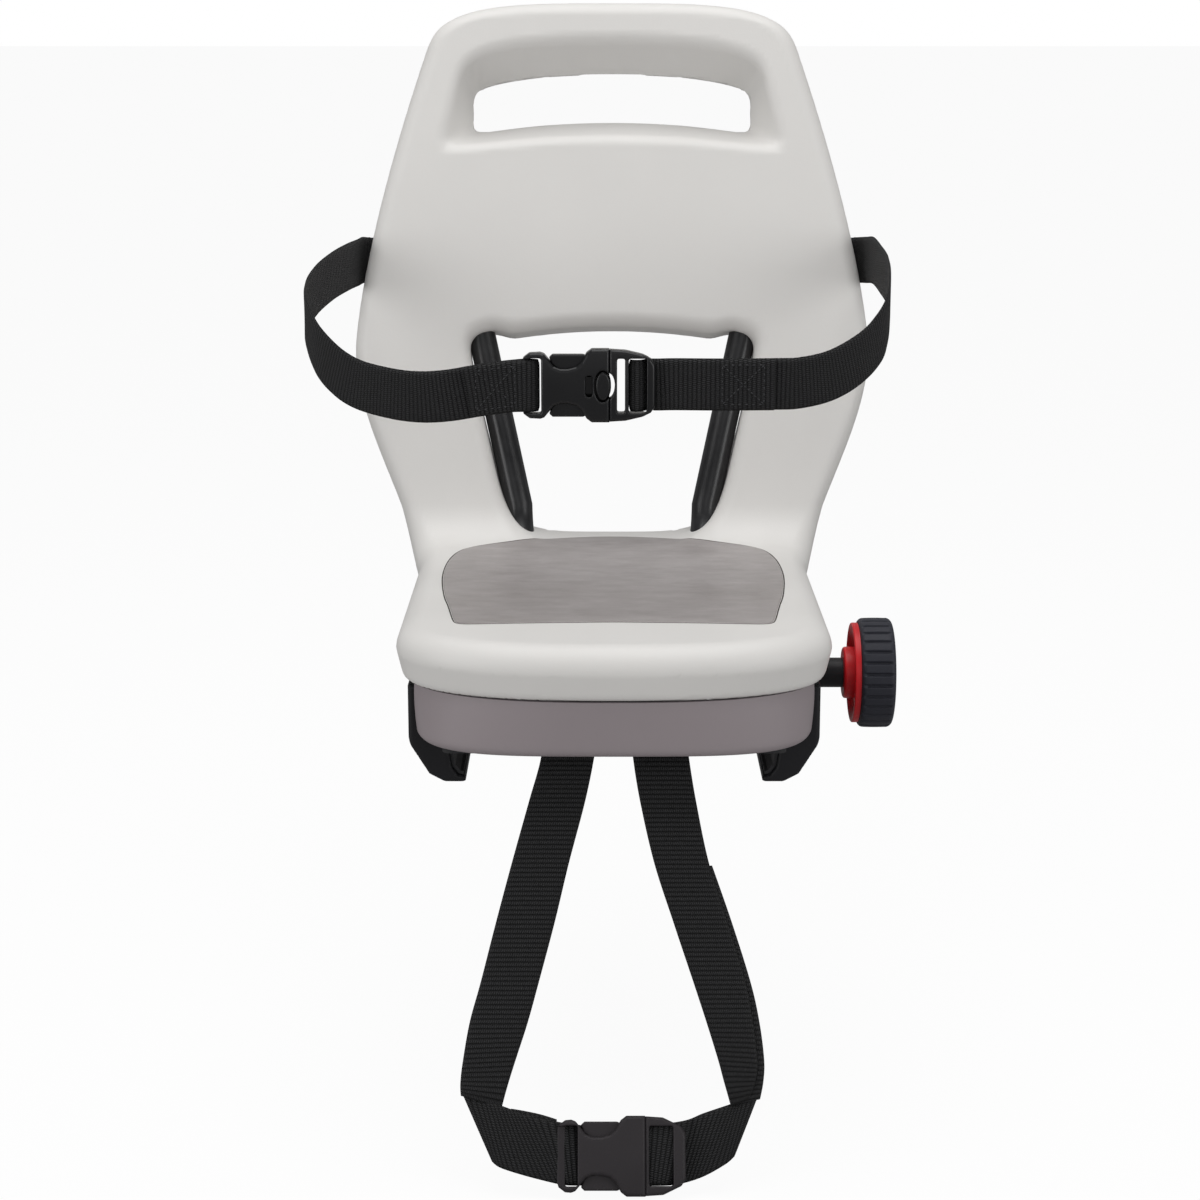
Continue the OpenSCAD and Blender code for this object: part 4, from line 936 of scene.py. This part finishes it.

# %% [markdown]
# The waist belt is laid along given knots: it leaves the buckle, swings out round where the
# child would sit, and lies flat across the back of the seat under a bridge. Its width
# stands upright in front and leans with the backrest behind. It is cut in two at the
# right hip, so that the part in front of that, which the buckle's tongue pulls, is a
# piece of its own.

# %% The waist belt
BELT_Y, BELT_Z = 26.0, 156.7
BELT_WIDE, BELT_THICK = 25.0, 1.4
REAR_S, REAR_D = 157.4, 29.05
REAR_Y = BACK_Y + REAR_S * math.sin(RECLINE) + REAR_D * math.cos(RECLINE)
REAR_Z = SEAT_TOP + REAR_S * math.cos(RECLINE) - REAR_D * math.sin(RECLINE)
belt_knots = np.array([
    (-70.0, BELT_Y - 1.4, BELT_Z - 3.2), (-60, BELT_Y - 2.2, BELT_Z - 1.6),
    (-50, BELT_Y - 2.4, BELT_Z - 0.3), (-43.5, BELT_Y - 3.0, BELT_Z), (-40, BELT_Y - 2.8, BELT_Z),
    (-37.6, BELT_Y - 1.6, BELT_Z), (-36.2, BELT_Y, BELT_Z), (-37.6, BELT_Y + 1.7, BELT_Z),
    (-40, BELT_Y + 2.8, BELT_Z), (-43.5, BELT_Y + 2.3, BELT_Z), (-50, BELT_Y - 0.2, BELT_Z - 0.3),
    (-60, BELT_Y - 0.4, BELT_Z - 1.6), (-79, 28, BELT_Z - 5.2), (-94, 33, BELT_Z - 6.7),
    (-109, 42, BELT_Z - 6.2), (-126, 56, BELT_Z - 3.7), (-138, 68, BELT_Z + 1.8),
    (-148, 82, BELT_Z + 10.3), (-155, 100, BELT_Z + 20.3), (-157, 116, BELT_Z + 27.8),
    (-154, 136, BELT_Z + 34.3), (-148, 158, BELT_Z + 39.3), (-142, 180, BELT_Z + 42),
    (-138.5, 200, BELT_Z + 42.5), (-136.6, 213, REAR_Z + 1), (-133.6, REAR_Y - 2.4, REAR_Z + 0.3),
    (-126, REAR_Y + 0.2, REAR_Z), (-60, REAR_Y, REAR_Z), (0, REAR_Y, REAR_Z), (60, REAR_Y, REAR_Z),
    (126, REAR_Y + 0.2, REAR_Z), (133.6, REAR_Y - 2.4, REAR_Z + 0.3), (136.6, 213, REAR_Z + 1),
    (138.5, 200, BELT_Z + 44), (140, 180, BELT_Z + 45.5), (141, 155, BELT_Z + 43.5),
    (142, 128, BELT_Z + 39.5), (140, 102, BELT_Z + 32.5), (136, 82, BELT_Z + 22.5),
    (129, 68, BELT_Z + 14), (118.5, 54, BELT_Z + 7.5), (105, 42, BELT_Z + 2.3), (90, 32, BELT_Z + 0.3),
    (77.5, 28, BELT_Z + 0.3), (50, BELT_Y + 0.8, BELT_Z + 0.3), (30, BELT_Y + 1.8, BELT_Z + 0.3),
    (22, BELT_Y + 2.9, BELT_Z), (18, BELT_Y + 2.9, BELT_Z), (15.2, BELT_Y + 1.3, BELT_Z),
    (13.6, BELT_Y - 1.2, BELT_Z), (11.6, BELT_Y - 2.2, BELT_Z), (9.4, BELT_Y - 1.9, BELT_Z),
    (8.0, BELT_Y - 0.4, BELT_Z), (8.0, BELT_Y + 1.6, BELT_Z)])
belt_path = even(spline(belt_knots, 3000, closed=False), 1.0)
beside_hip = (belt_path[:, 0] > 100) & (belt_path[:, 1] > 100) & (belt_path[:, 1] < 170)
split = int(np.argmax(beside_hip))


def belt_up(path):
    """Across the webbing: upright in front, leaning with the backrest behind."""
    lean = RECLINE * smooth((path[:, 1] - 150) / 70)
    return np.column_stack([np.zeros(len(path)), np.sin(lean), np.cos(lean)])


def webbing_piece(name, parts):
    """Several lengths of webbing, each with its points, faces and UV map, as one piece."""
    points, faces = joined([(p, f) for p, f, _ in parts])
    return add_mesh(name, points, faces, uv=np.concatenate([uv for _, _, uv in parts]))


def belt_ribbon(path):
    """The belt's ribbon along a route."""
    return ribbon(path, belt_up(path), BELT_WIDE, BELT_THICK)


def along_path(path, start, end, offset):
    """A stretch of a belt's route, moved off its middle, square to the webbing."""
    run = run_along(path)
    out = np.cross(belt_up(path), heading(path))
    return (path + out * offset)[(run >= start) & (run <= end)]


def drawn_along(piece, finish):
    """Gives a strap its finish and bakes its placement into its points."""
    piece.data.materials.append(finish)
    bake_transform(piece)


fixed_belt = webbing_piece("waist_belt_fixed", [belt_ribbon(belt_path[:split + 1])])
place(fixed_belt, web_finish, "seat", "webbing", "belt_webbing")
front_belt = belt_path[split:]
front_len = run_along(front_belt)[-1]
right_tail = along_path(front_belt, front_len - 75.0, front_len - 15.0, BELT_THICK + 0.05)
moving_belt = webbing_piece("waist_belt_moving", [belt_ribbon(front_belt), belt_ribbon(right_tail)])
drawn_along(moving_belt, web_finish)

# %% [markdown]
# Each folded end is held by a box of stitches with a cross in it. A stitch is a
# short fat thread that dives into the webbing at both ends, so it is a small
# lozenge; a few hundred of them are computed at once as one mesh.

# %% Stitching
SEAM_HALF = 9.5
FORWARD = np.array([0.0, -1.0, 0.0])


def stitches(lines, out, pitch=2.3, length=1.9, thick=0.34):
    """Lozenges along straight lines on a face that looks towards out, each with two end
    points and two rings of four between them."""
    starts, ends = [], []
    for a, b in lines:
        a, b = np.array(a, float), np.array(b, float)
        count = max(1, int(np.linalg.norm(b - a) / pitch))
        t = (np.arange(count) + 0.5) / count
        middle = a + (b - a) * t[:, None]
        half = (b - a) / np.linalg.norm(b - a) * length / 2
        starts.append(middle - half)
        ends.append(middle + half)
    a, b = np.concatenate(starts), np.concatenate(ends)
    side = np.cross(b - a, out)
    side /= np.linalg.norm(side, axis=1)[:, None]
    ring = []
    for share in (0.3, 0.7):
        centre = a + (b - a) * share
        ring += [centre + out * thick, centre + side * thick, centre - out * thick, centre - side * thick]
    pts = np.stack([a - out * 0.15] + ring + [b - out * 0.15], 1)
    k = np.arange(4)
    n = (k + 1) % 4
    tri = np.concatenate([
        np.column_stack([np.zeros(4, int), 1 + n, 1 + k]),
        np.column_stack([1 + k, 1 + n, 5 + n]), np.column_stack([1 + k, 5 + n, 5 + k]),
        np.column_stack([np.full(4, 9), 5 + k, 5 + n])])
    faces = (np.arange(len(a)) * 10)[:, None, None] + tri[None]
    return pts.reshape(-1, 3), faces.reshape(-1, 3)


def on_ribbon(path, lines, offset):
    """Lines given as (distance along, height) laid onto a belt's outer face."""
    run, up = run_along(path), belt_up(path)
    face = path + np.cross(up, heading(path)) * offset
    laid = []
    for (a, za), (b, zb) in lines:
        t = np.linspace(0, 1, 7)
        at, z = mix(a, b, t), mix(za, zb, t)
        row = np.stack([np.interp(at, run, face[:, k]) for k in range(3)], -1)
        row += np.stack([np.interp(at, run, up[:, k]) for k in range(3)], -1) * z[:, None]
        laid += list(zip(row[:-1], row[1:]))
    return laid


def box_on(a, b):
    """Box and cross between two distances along a belt."""
    p, q, r, s = (a, -SEAM_HALF), (b, -SEAM_HALF), (b, SEAM_HALF), (a, SEAM_HALF)
    return [(p, q), (q, r), (r, s), (s, p), (p, r), (q, s)]


def add_seam(name, path, start, end, offset):
    """A box-cross seam laid on a belt's front face."""
    return add_mesh(name, *stitches(on_ribbon(path, box_on(start, end), offset), FORWARD))


left_seam = add_seam("belt_stitches_left", belt_path, 4, 23, -0.75)
place(left_seam, thread_finish, "seat", "webbing")
right_seam = add_seam("belt_stitches_right", front_belt, front_len - 69.0, front_len - 49.0, 2.2)
drawn_along(right_seam, thread_finish)

# %% [markdown]
# A side-release buckle is two mouldings. The socket is a flat box with finger
# scoops cut into both edges, so that the two sprung prongs inside can be squeezed, and
# ears that hold a bar for the webbing. The other half carries the prongs, a guide
# and a frame with slots. Both are fields: plan outlines pulled through a
# thickness, with soft edges, fused and cut.

# %% Buckle fields
def polygon_distance(pts, x, y):
    """Distance from (x, y) to a closed outline, negative inside: the nearest point on
    every side, and the sign from how many sides a ray crosses."""
    pts = np.asarray(pts, float)
    a, b = pts, np.roll(pts, -1, 0)
    best = np.full(x.shape, 1e9)
    inside = np.zeros(x.shape, bool)
    for (ax, ay), (bx, by) in zip(a, b):
        ex, ey = bx - ax, by - ay
        t = np.clip(((x - ax) * ex + (y - ay) * ey) / (ex * ex + ey * ey), 0, 1)
        best = np.minimum(best, np.hypot(x - ax - t * ex, y - ay - t * ey))
        cross = (ay > y) != (by > y)
        inside ^= cross & (x < ax + (y - ay) * ex / (ey if abs(ey) > 1e-9 else 1e-9))
    return np.where(inside, -best, best)


def box_distance(x, y, cx, cy, hx, hy, r=0.0):
    """Distance to a rectangle of half sizes hx, hy whose corners are rounded by r."""
    ux, uy = np.abs(x - cx) - hx + r, np.abs(y - cy) - hy + r
    return np.hypot(np.maximum(ux, 0), np.maximum(uy, 0)) + np.minimum(np.maximum(ux, uy), 0) - r


def both_sides(pts):
    """An outline's upper half, mirrored below."""
    pts = list(pts)
    return pts + [(x, -y) for x, y in reversed(pts)]


def socket_field(length, oval):
    """Field of a buckle's socket in its own flat frame: its mouth is at x = 0."""
    plan = both_sides([(0, 17.4), (-8.2, 17.4), (-10.6, 15.6), (-13.0, 11.4), (-15.6, 9.2), (-19.5, 8.2),
                       (-23.5, 8.2), (-26.6, 9.4), (-29.2, 12.6), (-31.2, 15.0), (-33.0, 15.7),
                       (-length + 3.4, 15.5), (-length + 0.6, 13.4), (-length, 11.5)])

    def field(p):
        x, y, z = p.T
        flat = polygon_distance(plan, x, y) - 0.25
        thick = 5.0 - 0.9 * (y / 17.5) ** 2 - 0.7 * smooth((-x - 31) / 5)
        body = corner(flat, np.abs(z) - thick, 1.7)
        inner = np.maximum(box_distance(x, y, -13.0, 0, 14.5, 14.3, 1.5), np.abs(z) - 2.5)
        body = cut(body, inner, 0.45)
        slot = box_distance(x, y, -length + 6.1, 0, 2.8, 13.3, 1.0)
        body = cut(body, slot, 0.9)
        wrap = np.maximum(box_distance(x, y, -length, 0, 4.2, 13.1, 0.8), 1.9 - np.abs(z))
        body = cut(body, wrap, 0.5)
        if oval:
            recess = np.hypot((x + 3.0) / 4.2, y / 7.6) - 1
            body = cut(body, np.maximum(recess * 4.0, -z + 2.0), 0.6)
            hole = box_distance(x, y, -9.6, 0, 1.7, 5.2, 1.7)
            body = cut(body, np.maximum(hole, -z), 0.5)
        return body
    return field


def tongue_field(length, slots, oval):
    """Field of a buckle's frame, prongs and guide: the frame stands from x = 0 out."""
    plan = both_sides([(0.25, 17.2), (8, 16.7), (length - 6, 14.8), (length - 2, 12.9), (length - 0.2, 10.2),
                       (length, 8)])
    prong = [(2, 8.4), (2, 12.4), (-9, 13.2), (-12.4, 14.9), (-27.0, 14.9), (-28.4, 13.6), (-27.4, 10.4),
             (-24, 7.4), (-9, 7.0)]

    def field(p):
        x, y, z = p.T
        flat = polygon_distance(plan, x, y) - 0.2
        bar = 4.3 - 0.7 * (y / 17.5) ** 2 - 0.6 * smooth((x - length + 6) / 6)
        body = corner(flat, np.abs(z) - bar, 1.5)
        for cx, half in slots:
            body = cut(body, box_distance(x, y, cx, 0, half, 13.1, 1.0), 0.8)
        behind = np.maximum(box_distance(x, y, length, 0, 5.0, 13.1, 0.8), z + 1.0)
        body = cut(body, behind, 0.5)
        arms = corner(polygon_distance(prong, x, np.abs(y)) - 0.2, np.abs(z) - 2.2, 0.8)
        middle = corner(box_distance(x, y, -10, 0, 12, 4.6, 1.5), np.abs(z) - 2.0, 0.5)
        body = fuse(fuse(body, arms, 0.6), middle, 0.6)
        if oval:
            button = corner((np.hypot((x + 2.9) / 3.4, y / 6.8) - 1) * 3.0, np.abs(z - 1.6) - 3.0, 0.7)
            body = np.minimum(body, button)
            opening = (np.hypot((x - 0.2) / 2.6, y / 6.0) - 1) * 2.4
            kept_clear = (np.hypot((x + 2.9) / 3.9, y / 7.4) - 1) * 3.4
            body = cut(body, np.maximum(opening, -kept_clear), 0.4)
        return body
    return field


def add_buckle(name, field, start, end, matrix, cell=0.62):
    """One half of a buckle as a piece, made flat between two places along X and then
    turned and moved by a matrix to where the buckle really is."""
    points, quads, normals = skin(field, (start, -20, -7), (end, 20, 7), cell, rounds=3)
    turn_part, shift = matrix[:, :3], matrix[:, 3]
    return add_mesh(name, points @ turn_part.T + shift, quads, normals @ turn_part.T)


belt_frame = np.array([[1.0, 0, 0, -2.3], [0, 0, -1.0, BELT_Y], [0, 1.0, 0, BELT_Z]])
socket = add_buckle("belt_socket", socket_field(41.4, True), -44, 2, belt_frame)
place(socket, buckle_finish, "seat", "belt_buckle", "belt_buckle_socket")
belt_slots = [(5.8, 1.9), (13.8, 4.3)]
tongue = add_buckle("belt_tongue_frame", tongue_field(22.0, belt_slots, True), -31, 24, belt_frame)
place(tongue, buckle_finish, "belt_tongue", "belt_buckle", "belt_buckle_tongue")

# %% [markdown]
# The lower strap hangs in a plane that leans forward. It is sewn from two lengths that
# leave two slots in the tray, swing out, and fold under at the bottom to reach the
# buckle. Both edges of each length are laid out in that plane, and a line
# across from edge to edge carries the webbing.

# %% The lower strap
LEAN = math.radians(25)
EXIT_Y, EXIT_Z = -53.9, 2.0
STRAP_DROP = 187.0
STRAP_WIDE, STRAP_THICK = 26.0, 1.5


def hang(uv_points, off=0.0):
    """Points (u, v) of the strap's plane, v measured down the lean, moved off it by off
    towards the front."""
    u, v = uv_points[:, 0], uv_points[:, 1]
    y = EXIT_Y - v * math.sin(LEAN) - off * math.cos(LEAN)
    z = EXIT_Z - v * math.cos(LEAN) + off * math.sin(LEAN)
    return np.column_stack([u, y, z])


left_outer = [(-33, -6), (-34, 8), (-39.4, 28), (-47, 56), (-54, 83), (-60.7, 110), (-65.5, 128),
              (-68.5, 146), (-69.4, 155), (-69.2, 160.6)]
left_inner = [(-7.5, -6), (-9.4, 8), (-13.5, 28), (-20.8, 56), (-27.2, 83), (-34.3, 110),
              (-39.2, 128), (-44.6, 144.8), (-48, 155.8), (-50.8, 166.1)]
left_low = [(-54.9, 189.5), (-51.0, 192.2), (-39.7, 195.7), (-25.4, 199.2), (-21.0, 199.8), (-14.0, 199.9)]
left_high = [(-69.0, 158.6), (-60.0, 161.8), (-50.6, 165.0), (-39.9, 168.6), (-25.5, 172.0), (-14.0, 173.6)]
right_outer = [(33, -6), (34.6, 8), (37.7, 28), (43.3, 56), (51.6, 83), (59.4, 110), (62.6, 128),
               (64.4, 146), (63.4, 154), (60.6, 162.0)]
right_inner = [(7.5, -6), (8.7, 8), (11.9, 28), (18.2, 56), (26.8, 83), (35.7, 110), (41.5, 128),
               (46.6, 144.8), (49.1, 154.3), (52.2, 165.3)]
right_low = [(53.6, 187.2), (49.6, 190.6), (39.9, 195.9), (30.3, 199.0), (24.0, 199.8), (11.0, 200.0)]
right_high = [(65.4, 158.4), (58.0, 161.8), (52.0, 164.2), (40.2, 168.1), (30.5, 171.6), (11.0, 174.0)]
under_outer = [(44.8, 57), (53.6, 83), (61.8, 110), (65.6, 128), (67.5, 144.8), (67.0, 154.3),
               (65.4, 162.1)]
under_inner = [(20.4, 60), (29.6, 84), (38.5, 111), (43.9, 129), (47.8, 145.0), (50.4, 154),
               (53.4, 164.6)]
fold_over = [(-46.5, 166.2), (-40.0, 167.3), (-33.0, 168.8), (-26.0, 170.9)]
fold_under = [(-46.5, 190.0), (-40.0, 192.3), (-33.0, 194.8), (-26.0, 197.0)]


def edge_curve(knots, share, fine=1200):
    """Points at the given shares of the smooth curve through an edge's knots."""
    curve = spline(knots, fine, closed=False)
    return np.column_stack([np.interp(share, np.linspace(0, 1, fine), curve[:, k]) for k in (0, 1)])


def strap_length(outer, inner, off_line, count=150, wide=14):
    """A length of strap between its two edges: across it the surface is straight,
    and off_line gives how far in front of the plane it lies at each share."""
    share = np.linspace(0.0, 1.0, count)
    a, b = edge_curve(outer, share), edge_curve(inner, share)
    w = np.linspace(0, 1, wide)
    edge = np.sqrt(np.clip(1 - np.abs(2 * w - 1) ** 9, 0, 1))
    flat = (a[:, None, :] * (1 - w)[None, :, None] + b[:, None, :] * w[None, :, None]).reshape(-1, 2)
    curl = np.repeat(off_line(share), wide) + np.tile(0.5 * np.sin(w * math.pi), count)
    half = np.tile(edge, count) * STRAP_THICK / 2
    front, back = [hang(flat, off).reshape(count, wide, 3) for off in (curl + half, curl - half)]
    rings = np.concatenate([front, back[:, ::-1][:, 1:-1]], 1)
    across = (np.concatenate([w, w[::-1][1:-1]]) - 0.5) * STRAP_WIDE
    uv = np.column_stack([np.repeat(run_along((a + b) / 2), len(across)), np.tile(across, count)]) / 10
    points, faces = capped(rings, [rings[0].mean(0), rings[-1].mean(0)])
    return points, faces, np.vstack([uv, uv[:1], uv[-1:]])


folds_back = lambda share: -1.3 * smooth((share - 0.93) / 0.07)
comes_out = lambda share: mix(-1.6, 0.6, smooth(share * 2.0)) - 3.0 * smooth((share - 0.90) / 0.10)
over_bar = lambda share: (mix(-1.6, -2.9, smooth(share * 1.5)) + 4.4 * smooth((share - 0.70) / 0.12)
                          - 1.6 * smooth((share - 0.93) / 0.07))
strap_left = webbing_piece("lower_strap_left", [
    strap_length(left_outer, left_inner, folds_back), strap_length(left_low, left_high, comes_out),
    strap_length(fold_under, fold_over, lambda share: -1.9 + 0 * share)])
place(strap_left, web_finish, "seat", "webbing", "strap_webbing")
strap_right = webbing_piece("lower_strap_right", [
    strap_length(right_outer, right_inner, folds_back), strap_length(right_low, right_high, over_bar),
    strap_length(under_outer, under_inner, lambda share: -1.7 + 0 * share)])
drawn_along(strap_right, web_finish)

# %% [markdown]
# The lower buckle is the same pair of fields with other lengths and no oval button. Its
# flat frame is turned into the strap's leaning plane.

# %% The lower buckle
lean_cos, lean_sin = math.cos(LEAN), math.sin(LEAN)
strap_frame = np.array([
    [1.0, 0, 0, 13.5],
    [0, lean_sin, -lean_cos, EXIT_Y - STRAP_DROP * lean_sin],
    [0, lean_cos, lean_sin, EXIT_Z - STRAP_DROP * lean_cos]])
strap_socket = add_buckle("strap_socket", socket_field(39.0, False), -42, 2, strap_frame)
place(strap_socket, strap_buckle_finish, "seat", "strap_buckle", "strap_buckle_socket")
strap_tongue = add_buckle("strap_tongue_frame", tongue_field(18.0, [(7.2, 5.4)], False), -31, 20, strap_frame)
place(strap_tongue, strap_buckle_finish, "strap_tongue", "strap_buckle", "strap_buckle_tongue")

# %% [markdown]
# The jaws are thick nylon hooks. Their section is a closed outline, filleted, pulled
# along the rack, with the edges of its ends rounded too, so a field serves again.
# One round bore lets the spindle through and two let the guide rods through.

# %% The jaws
JAW_HALF, JAW_FACE = 45.0, 96.0
ROD_PITCH, ROD_BORE, SPINDLE_BORE = 32.0, 4.4, 6.5
jaw_plan = [(69.5, -20.3), (79.3, -20.3), (86.5, -16.5), (95.2, -2.5), (JAW_FACE, 1), (JAW_FACE, 26.6),
            (66, 26.6), (66, 9), (77, 9), (77, -6), (75.8, -13), (73, -16.6), (69.5, -17.3)]


def jaw_field(p):
    """Field of the right jaw: its section in (x, z) pulled along y, with a shallow panel
    at each end of its face and three bores."""
    x, y, z = p.T
    section = polygon_distance(jaw_plan, x, z)
    body = corner(section, np.abs(y) - JAW_HALF, 1.8)
    for cy in (-29.0, 29.0):
        panel = box_distance(y, z, cy, 10.0, 10.0, 9.0, 3.0)
        body = cut(body, np.maximum(panel, JAW_FACE - 1.4 - x), 0.8)
    round_bore = np.hypot(y - AXIS_Y, z - AXIS_Z) - SPINDLE_BORE
    rod_bores = np.hypot(np.abs(y - AXIS_Y) - ROD_PITCH, z - AXIS_Z) - ROD_BORE
    return cut(body, np.minimum(round_bore, rod_bores), 0.4)


points, quads, normals = skin(jaw_field, (62, -48, -24), (100, 48, 30), 1.15, rounds=3)
right_jaw = add_mesh("right_jaw_hook", points, quads, normals)
place(right_jaw, black_finish, "right_jaw", "jaws", "jaw_right")
left_jaw = add_mesh("left_jaw_hook", points * [-1, 1, 1], quads[:, ::-1], normals * [-1, 1, 1])
place(left_jaw, black_finish, "left_jaw", "jaws", "jaw_left")

# %% [markdown]
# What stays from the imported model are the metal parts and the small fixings, most of
# them hidden. They keep their shape and get their own finishes: drawn bar with
# fine lines, zinc plate with its mottling, brass, and matt rubber.

# %% Finishes for metal and small parts
def worked_metal(name, colour, rough, stretch, lines=220.0):
    """Metal with lines drawn along the stretched axis and cloudy gloss."""
    finish, tree, shader = new_finish(name)
    where = tree.nodes.new("ShaderNodeTexCoord").outputs["Object"]
    drawn = noise(tree, where, lines, 4.0, 0.6, stretch)
    shades = [(0.25, [0.8 * c for c in colour]), (0.75, colour)]
    tree.links.new(ramp(tree, drawn, shades), shader.inputs["Base Color"])
    tree.links.new(scaled(tree, drawn, rough - 0.08, rough + 0.1), shader.inputs["Roughness"])
    tree.links.new(bump(tree, drawn, 0.25, 0.00003), shader.inputs["Normal"])
    shader.inputs["Metallic"].default_value = 1.0
    return finish


bar_finish = worked_metal("drawn_bar", (0.60, 0.61, 0.63), 0.3, (0.05, 1, 1))
zinc_finish = worked_metal("zinc_plate", (0.58, 0.59, 0.62), 0.42, (1, 1, 1), 120.0)
brass_finish = worked_metal("turned_brass", (0.70, 0.50, 0.24), 0.3, (1, 0.1, 0.1))
cast_finish = moulded("cast_black", (0.02, 0.02, 0.022), 0.6, 500.0, 0.0002, 0.2)
kept = {
    "chassis_plate": zinc_finish, "chassis_screws": zinc_finish, "cover_screws": zinc_finish,
    "bracket_screws": zinc_finish, "bridge_screws": zinc_finish, "knob_screw": zinc_finish,
    "rest_pads": rubber_finish, "jaw_lining_left": rubber_finish, "jaw_lining_right": rubber_finish,
    "bearing_bracket_left": cast_finish, "bearing_bracket_right": cast_finish,
    "thrust_washers": brass_finish, "jaw_nut_left": brass_finish, "jaw_nut_right": brass_finish,
    "guide_rods": bar_finish, "spindle": bar_finish, "strap_anchor_bar": bar_finish,
    "spindle_sleeve": black_finish, "knob_cap": grip_finish, "belt_bridge": black_finish}
for node_name, finish in kept.items():
    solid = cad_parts[node_name]
    solid.data.materials.clear()
    solid.data.materials.append(finish)
    smooth_up_to(solid.data, 30)
print("solids kept with new finishes:", len(kept))

# %% [markdown]
# The stage is a pale floor and a white surround. The floor keeps a trace of the
# object's shadow, and what the camera sees of the surround, straight or through glass,
# is plain white, while the light itself stays at an everyday level.

# %% Floor, surround and lamps
FLOOR_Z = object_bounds()[0][2] - 0.001
FLOOR_HALF, FLOOR_NEAR, FLOOR_FAR = 20, -4, 70
WHITE = (1, 1, 1, 1)


def shown_by(tree, share, lit, seen, out):
    """Joins two shaders to an output: seen for the rays that share picks, lit for the rest."""
    blend = tree.nodes.new("ShaderNodeMixShader")
    for source, target in zip((share, lit.outputs[0], seen.outputs[0]), blend.inputs):
        tree.links.new(source, target)
    tree.links.new(blend.outputs[0], out.inputs["Surface"])


mesh = bpy.data.meshes.new("floor")
floor_plan = [(-FLOOR_HALF, FLOOR_NEAR), (FLOOR_HALF, FLOOR_NEAR),
              (FLOOR_HALF, FLOOR_FAR), (-FLOOR_HALF, FLOOR_FAR)]
mesh.from_pydata([(x, y, FLOOR_Z) for x, y in floor_plan], [], [(0, 1, 2, 3)])
floor = bpy.data.objects.new("floor", mesh)
bpy.context.scene.collection.objects.link(floor)
paper = bpy.data.materials.new("paper")
paper.use_nodes = True
tree = paper.node_tree
tree.nodes.clear()
out = tree.nodes.new("ShaderNodeOutputMaterial")
matt = tree.nodes.new("ShaderNodeBsdfDiffuse")
glow = tree.nodes.new("ShaderNodeEmission")
by_camera = tree.nodes.new("ShaderNodeLightPath").outputs["Is Camera Ray"]
tree.links.new(scaled(tree, by_camera, 0.4, 0.95), matt.inputs["Color"])
shown_by(tree, math_node(tree, "MULTIPLY", by_camera, 0.94), matt, glow, out)
floor.data.materials.append(paper)

world = bpy.data.worlds.new("surround")
bpy.context.scene.world = world
world.use_nodes = True
tree = world.node_tree
tree.nodes.clear()
out = tree.nodes.new("ShaderNodeOutputWorld")
seen = tree.nodes.new("ShaderNodeBackground")
light = tree.nodes.new("ShaderNodeBackground")
light.inputs["Strength"].default_value = 0.27
seen.inputs["Strength"].default_value = 1.0
seen.inputs["Color"].default_value = light.inputs["Color"].default_value = WHITE
rays = tree.nodes.new("ShaderNodeLightPath").outputs
either = math_node(tree, "MAXIMUM", rays["Is Camera Ray"], rays["Is Transmission Ray"])
shown_by(tree, either, light, seen, out)


def lamp(name, at, aim, size, power):
    """A square soft box at a place, aimed at another."""
    data = bpy.data.lights.new(name, "AREA")
    data.shape, data.size, data.energy = "SQUARE", size, power
    thing = bpy.data.objects.new(name, data)
    thing.location = at
    thing.rotation_euler = (Vector(aim) - Vector(at)).to_track_quat("-Z", "Y").to_euler()
    bpy.context.scene.collection.objects.link(thing)


lamp("top_box", (0.0, 0.0, 1.5), (0, 0.08, 0.05), 1.4, 14.5)
lamp("left_box", (-1.5, -1.0, 0.35), (0, 0.05, 0.05), 1.0, 10.0)
lamp("right_box", (1.5, -1.0, 0.4), (0, 0.05, 0.05), 1.0, 8.5)
lamp("front_box", (0.0, -1.9, 0.7), (0, 0.1, 0.15), 1.0, 2.0)
bpy.context.scene.view_settings.view_transform = "Standard"
print("lamps:", sorted(data.name for data in bpy.data.lights), "floor at", round(FLOOR_Z, 4))
